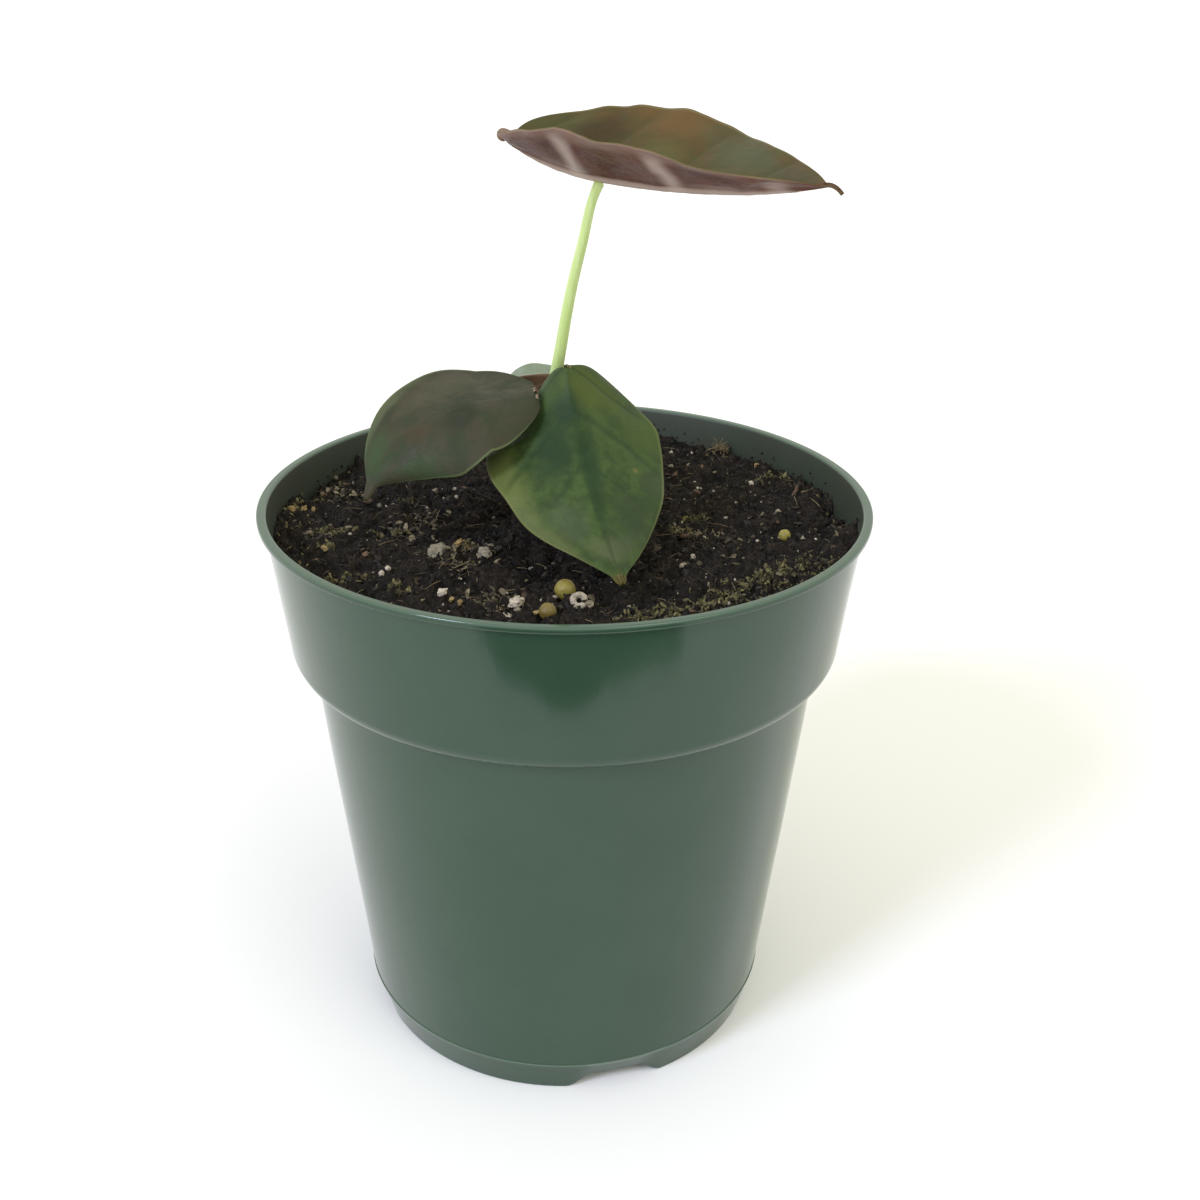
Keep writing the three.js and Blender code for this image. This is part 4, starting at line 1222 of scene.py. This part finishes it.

# The colours of each blade's two sides. Veins end with their strength, and patches are (share, across,
# long, wide, colour, strength). Bands give the count, start and lean of the pale bands of painted highlight
# along the veins, which run unlike the relief.
BLADE_LOOKS = {
    "top": {
        "slot": "leaf_copper",
        "upper": {
            "colour": (78, 62, 30), "mottle": (68, 66, 36), "veins": (62, 62, 36, 0.35),
            "margin": (112, 100, 66), "vein_width": 0.14, "gloss": 0.35,
            "patches": (
                (0.10, 0.72, 0.09, 0.5, (70, 70, 40), 0.8), (0.23, 0.55, 0.10, 0.35, (54, 42, 18), 0.8),
                (0.42, 0.85, 0.14, 0.3, (96, 72, 40), 0.8), (0.46, 0.40, 0.09, 0.25, (84, 82, 46), 0.6),
                (0.70, 0.65, 0.15, 0.5, (72, 74, 50), 0.9), (0.90, 0.40, 0.09, 0.6, (66, 60, 38), 0.8),
                (1.03, 0.0, 0.05, 3.0, (92, 74, 54), 1.0),
            ),
        },
        # This underside's pale vein bands, in the veins' colour, are painted highlight: sheen on the quilted
        # ridges beside the side veins.
        "under": {
            "colour": (90, 56, 47), "mottle": (106, 72, 61), "veins": (192, 172, 164, 0.75),
            "margin": (150, 126, 114), "vein_width": 0.16, "gloss": 0.15, "bands": (3.3, 0.155, 0.05),
            "patches": (
                (0.23, -0.60, 0.06, 0.35, (76, 42, 36), 0.9), (0.39, -0.47, 0.07, 0.3, (76, 42, 36), 0.9),
                (0.43, -0.66, 0.06, 0.2, (88, 60, 40), 0.8), (0.72, -0.62, 0.08, 0.3, (76, 44, 36), 0.9),
                (0.10, -0.50, 0.05, 0.4, (80, 48, 42), 0.8), (0.90, -0.50, 0.09, 0.5, (104, 76, 66), 0.7),
                (0.02, -0.60, 0.05, 1.0, (128, 100, 84), 0.8), (0.45, -1.02, 0.6, 0.22, (142, 116, 106), 0.7),
                (0.74, -0.05, 0.13, 0.16, (160, 140, 132), 0.6), (0.28, -0.20, 0.03, 0.2, (64, 38, 36), 0.9),
                (0.22, -0.1, 0.1, 0.14, (140, 116, 106), 0.5), (1.03, 0.0, 0.05, 3.0, (92, 74, 54), 1.0),
            ),
        },
    },
    "left": {
        "slot": "leaf_dusk",
        "upper": {
            "colour": (58, 56, 42), "mottle": (48, 56, 38), "veins": (46, 50, 36, 0.2),
            "margin": (92, 106, 70), "vein_width": 0.2, "gloss": 0.3,
            "patches": (
                (0.28, -0.10, 0.14, 0.18, (40, 45, 34), 0.8), (0.39, 0.23, 0.10, 0.25, (41, 45, 34), 0.8),
                (0.44, -0.60, 0.22, 0.30, (76, 74, 58), 0.7), (0.87, -0.50, 0.12, 0.6, (53, 69, 43), 0.9),
                (0.75, 0.75, 0.16, 0.35, (53, 69, 44), 0.8), (0.64, 0.10, 0.08, 0.18, (66, 55, 40), 0.8),
                (0.70, -0.95, 0.20, 0.16, (84, 92, 67), 0.7), (0.15, 0.60, 0.16, 0.5, (61, 61, 46), 0.6),
                (1.05, 0.0, 0.06, 3.0, (56, 54, 36), 1.0),
            ),
        },
        "under": {
            "colour": (92, 70, 58), "mottle": (106, 84, 70), "veins": (150, 130, 112, 0.7),
            "margin": (84, 92, 62), "vein_width": 0.18, "gloss": 0.25, "patches": (
                (0.0, 0.0, 0.16, 3.0, (48, 50, 36), 1.0), (1.0, 0.0, 0.2, 3.0, (62, 70, 46), 1.0),
            ),
        },
    },
    "front": {
        "slot": "leaf_green",
        "upper": {
            "colour": (50, 66, 35), "mottle": (64, 82, 44), "veins": (34, 54, 34, 0.4),
            "margin": (100, 106, 64), "vein_width": 0.12, "vein_end": 0.6, "gloss": 0.3,
            # The two patches at 0.86 along, towards the tip, are painted sheen: a pale grey highlight on the
            # blade.
            "patches": (
                (0.10, 0.35, 0.12, 0.5, (76, 88, 40), 0.8), (0.28, 0.80, 0.14, 0.35, (68, 84, 42), 0.7),
                (0.20, -0.10, 0.10, 0.25, (34, 54, 34), 0.8), (0.35, -0.32, 0.16, 0.26, (34, 54, 34), 0.8),
                (0.10, -0.55, 0.08, 0.4, (60, 80, 44), 0.7), (0.86, -0.10, 0.07, 0.5, (84, 90, 64), 0.6),
                (0.45, -0.90, 0.24, 0.24, (96, 106, 60), 0.8), (0.77, -0.95, 0.16, 0.28, (90, 98, 60), 0.6),
                (0.72, 0.55, 0.14, 0.32, (46, 62, 40), 0.7), (0.70, -0.45, 0.12, 0.26, (72, 84, 62), 0.5),
                (0.50, 0.05, 0.22, 0.12, (32, 56, 34), 0.7), (0.86, 0.45, 0.08, 0.35, (70, 80, 56), 0.6),
                (0.47, 0.60, 0.016, 0.05, (104, 104, 58), 0.7), (1.03, 0.0, 0.05, 3.0, (82, 74, 40), 1.0),
            ),
        },
        "under": {
            "colour": (96, 98, 62), "mottle": (108, 108, 74), "veins": (134, 134, 94, 0.6),
            "margin": (112, 118, 74), "vein_width": 0.18, "gloss": 0.25, "patches": (
                (1.03, 0.0, 0.05, 3.0, (82, 74, 40), 1.0),
            ),
        },
    },
    "back": {
        "slot": "leaf_pale",
        "upper": {
            "colour": (134, 146, 124), "mottle": (148, 160, 142), "veins": (112, 128, 106, 0.4),
            "margin": (150, 162, 136), "vein_width": 0.14, "gloss": 0.4, "patches": (),
        },
        # This underside is painted brighter than its own colour, as light shining through the thin blade.
        "under": {
            "colour": (176, 140, 116), "mottle": (156, 120, 98), "veins": (190, 160, 136, 0.5),
            "margin": (150, 134, 106), "vein_width": 0.18, "gloss": 0.25, "patches": (),
        },
    },
}
# How strongly the finest net of veins takes the veins' colour, and the margin its own.
NET_STRENGTH = 0.06
MARGIN_STRENGTH = 0.7


def leaf_material(name, look, leaf):
    material, tree, shader = new_material(name, 0.55, IOR=1.4, Specular_IOR_Level=look["gloss"])
    veins, start, lean = look.get("bands", (leaf["veins"], leaf["vein_start"], leaf["vein_lean"]))
    shape = placed(tree, pattern, {
        "Veins": float(veins), "Vein Start": start - WANDER / 2, "Vein Lean": lean,
        "Vein Width": look["vein_width"], "Vein End": look.get("vein_end", 0.9),
    }).outputs
    skin = mottled(tree, seen(*look["colour"]), seen(*look["mottle"]), 4.0, 1.0, 0.5, 1.1)
    colour = skin["Colour"]
    for place, side, long, wide, tone, strength in look["patches"]:
        mask = placed(tree, patch, {
            "Share": shape["Share"], "Across": shape["Across"], "Place": place, "Side": side, "Long": long,
            "Wide": wide, "Strength": strength,
        }).outputs[0]
        colour = blend(tree, mask, colour, seen(*tone))
    *vein_tone, vein_strength = look["veins"]
    lines = (
        ("Veins", vein_strength, vein_tone), ("Midrib", vein_strength, vein_tone),
        ("Net", NET_STRENGTH, vein_tone), ("Margin", MARGIN_STRENGTH, look["margin"]),
    )
    for line, strength, tone in lines:
        colour = blend(tree, calc(tree, "MULTIPLY", shape[line], strength), colour, seen(*tone))
    tree.links.new(colour, shader["Base Color"])
    tree.links.new(between(tree, skin["Height"], 0.4, 0.9, 0.46, 0.62), shader["Roughness"])
    raised = calc(tree, "MULTIPLY_ADD", shape["Net"], -0.15, skin["Height"])
    roughen(tree, shader, raised, 0.0001)
    return material


for name, leaf in LEAVES.items():
    look = BLADE_LOOKS[name]
    skins = [leaf_material(f"{name} leaf {side}", look[side], leaf) for side in ("upper", "under")]
    blade = piece_from(blade_mesh(name), f"{name}_blade", skins, [f"blade_{name}"])
    blade.vertex_groups.new(name="rib")
    thicken = blade.modifiers.new("thickness", "SOLIDIFY")
    thicken.thickness = RIB_THICKNESS * MM
    thicken.offset = -1
    thicken.vertex_group = "rib"
    thicken.material_offset = 1

# The base end of the top blade is a small blunt knob, where its two lobes are rolled together. It follows a
# line of points, each as how far ahead of the blade's base and how far above it, and is dented by a wave
# with its share of the radius, its turn over the whole length and its start.
KNOB_LINE = ((1.9, -0.3), (0.1, 0.75), (-1.6, 1.1), (-3.2, 0.6))
KNOB_RADII = (1.2, 0.5)
KNOB_END = {"share": 3.5, "bluntness": 0.6}
KNOB_DENTS = (0.1, 9, 1)


def knob_mesh():
    axes = blade_axes(LEAVES["top"])
    base, inward = (blade_point("top", axes, along, 0) for along in (0, 0.06))
    outward = (base - inward).normalized()

    def radius(walked, length):
        share = walked / length
        bulge = math.sin(math.pi / 2 * min(1, KNOB_END["share"] * share)) ** KNOB_END["bluntness"]
        dent, turns, start = KNOB_DENTS
        return bulge * mixed(*KNOB_RADII, share) * (1 + dent * math.sin(turns * share + start))

    line = [base + outward * ahead + Vector((0, 0, rise)) for ahead, rise in KNOB_LINE]
    return tube(line, 24, 20, radius)


knob_skin, tree, shader = new_material("top leaf knob", 0.55, Specular_IOR_Level=0.25)
skin = mottled(tree, seen(124, 102, 86), seen(94, 72, 58), 2.0)
tree.links.new(skin["Colour"], shader["Base Color"])
piece_from(knob_mesh(), "top_blade_knob", [knob_skin])

# A white studio table under an even white sky, with a large soft light from the front left and a weaker
# one from the front right. A dark card lies on the table in front, where only the gloss of the pot sees it.
TABLE = ((-40000, -40000), (40000, -40000), (40000, 40000), (-40000, 40000))
CARD = (
    (-76, -146), (-61, -141), (-49, -135), (-27, -137), (-6, -133), (13, -133), (38, -137), (70, -132),
    (95, -120), (102, -118), (230, -300), (-160, -330),
)
CARD_HEIGHT = 0.5


def flat_sheet(name, corners, height, cloud_scale, dark, light, roughness):
    material, tree, shader = new_material(name, roughness, Specular_IOR_Level=0.0)
    clouds = cloudy(tree, on_object(tree), cloud_scale)
    tree.links.new(blend(tree, clouds, dark, light), shader["Base Color"])
    bm = bmesh.new()
    bm.faces.new([bm.verts.new((x, y, height)) for x, y in corners])
    bmesh.ops.recalc_face_normals(bm, faces=bm.faces)
    mesh = mesh_in_metres(bm, name)
    mesh.materials.append(material)
    return bpy.data.objects.new(name, mesh)


table = flat_sheet("table", TABLE, 0, 3.0, (0.86, 0.86, 0.86, 1), (0.9, 0.9, 0.9, 1), 0.9)
card = flat_sheet("dark_card", CARD, CARD_HEIGHT, 30.0, (0.04, 0.04, 0.04, 1), (0.09, 0.08, 0.08, 1), 1.0)
card.visible_camera = False
card.visible_diffuse = False
card.visible_shadow = False
card.visible_transmission = False
stage = [table, card]

# Each sun's name, the direction that it shines from, its strength, its width in degrees and its colour.
SUNS = (
    ("key", (-96, -90, 92), 1.5, 16, (0.86, 0.92, 1.25)),
    ("fill", (55, -60, 90), 0.6, 35, (1.0, 1.0, 0.9)),
)
for name, toward, strength, spread, tone in SUNS:
    sun = bpy.data.lights.new(name, "SUN")
    sun.energy = strength
    sun.angle = math.radians(spread)
    sun.color = tone
    lamp = bpy.data.objects.new(name, sun)
    lamp.rotation_euler = Vector(toward).to_track_quat("Z", "Y").to_euler()
    stage.append(lamp)

world = bpy.data.worlds.new("white sky")
world.use_nodes = True
sky = world.node_tree.nodes["Background"].inputs
sky["Color"].default_value = (1.0, 0.99, 0.88, 1)
sky["Strength"].default_value = 1.0
bpy.context.scene.world = world
bpy.context.scene.view_settings.view_transform = "Standard"

# The photo's camera stands in front of the pot and looks down into it, rolled by less than a degree.
EYE = (5.923, -226.213, 183.770)
LOOKING_DOWN = 25.168
ROLL = 0.7665
lens = bpy.data.cameras.new("camera")
lens.lens = 43.10
lens.sensor_width = 36
lens.clip_start = 0.01
camera = bpy.data.objects.new("camera", lens)
aim = Matrix.Rotation(math.radians(90 - LOOKING_DOWN), 4, "X") @ Matrix.Rotation(math.radians(ROLL), 4, "Z")
camera.matrix_world = Matrix.Translation(Vector(EYE) * MM) @ aim
bpy.context.scene.camera = camera
stage.append(camera)

for item in stage:
    bpy.context.scene.collection.objects.link(item)
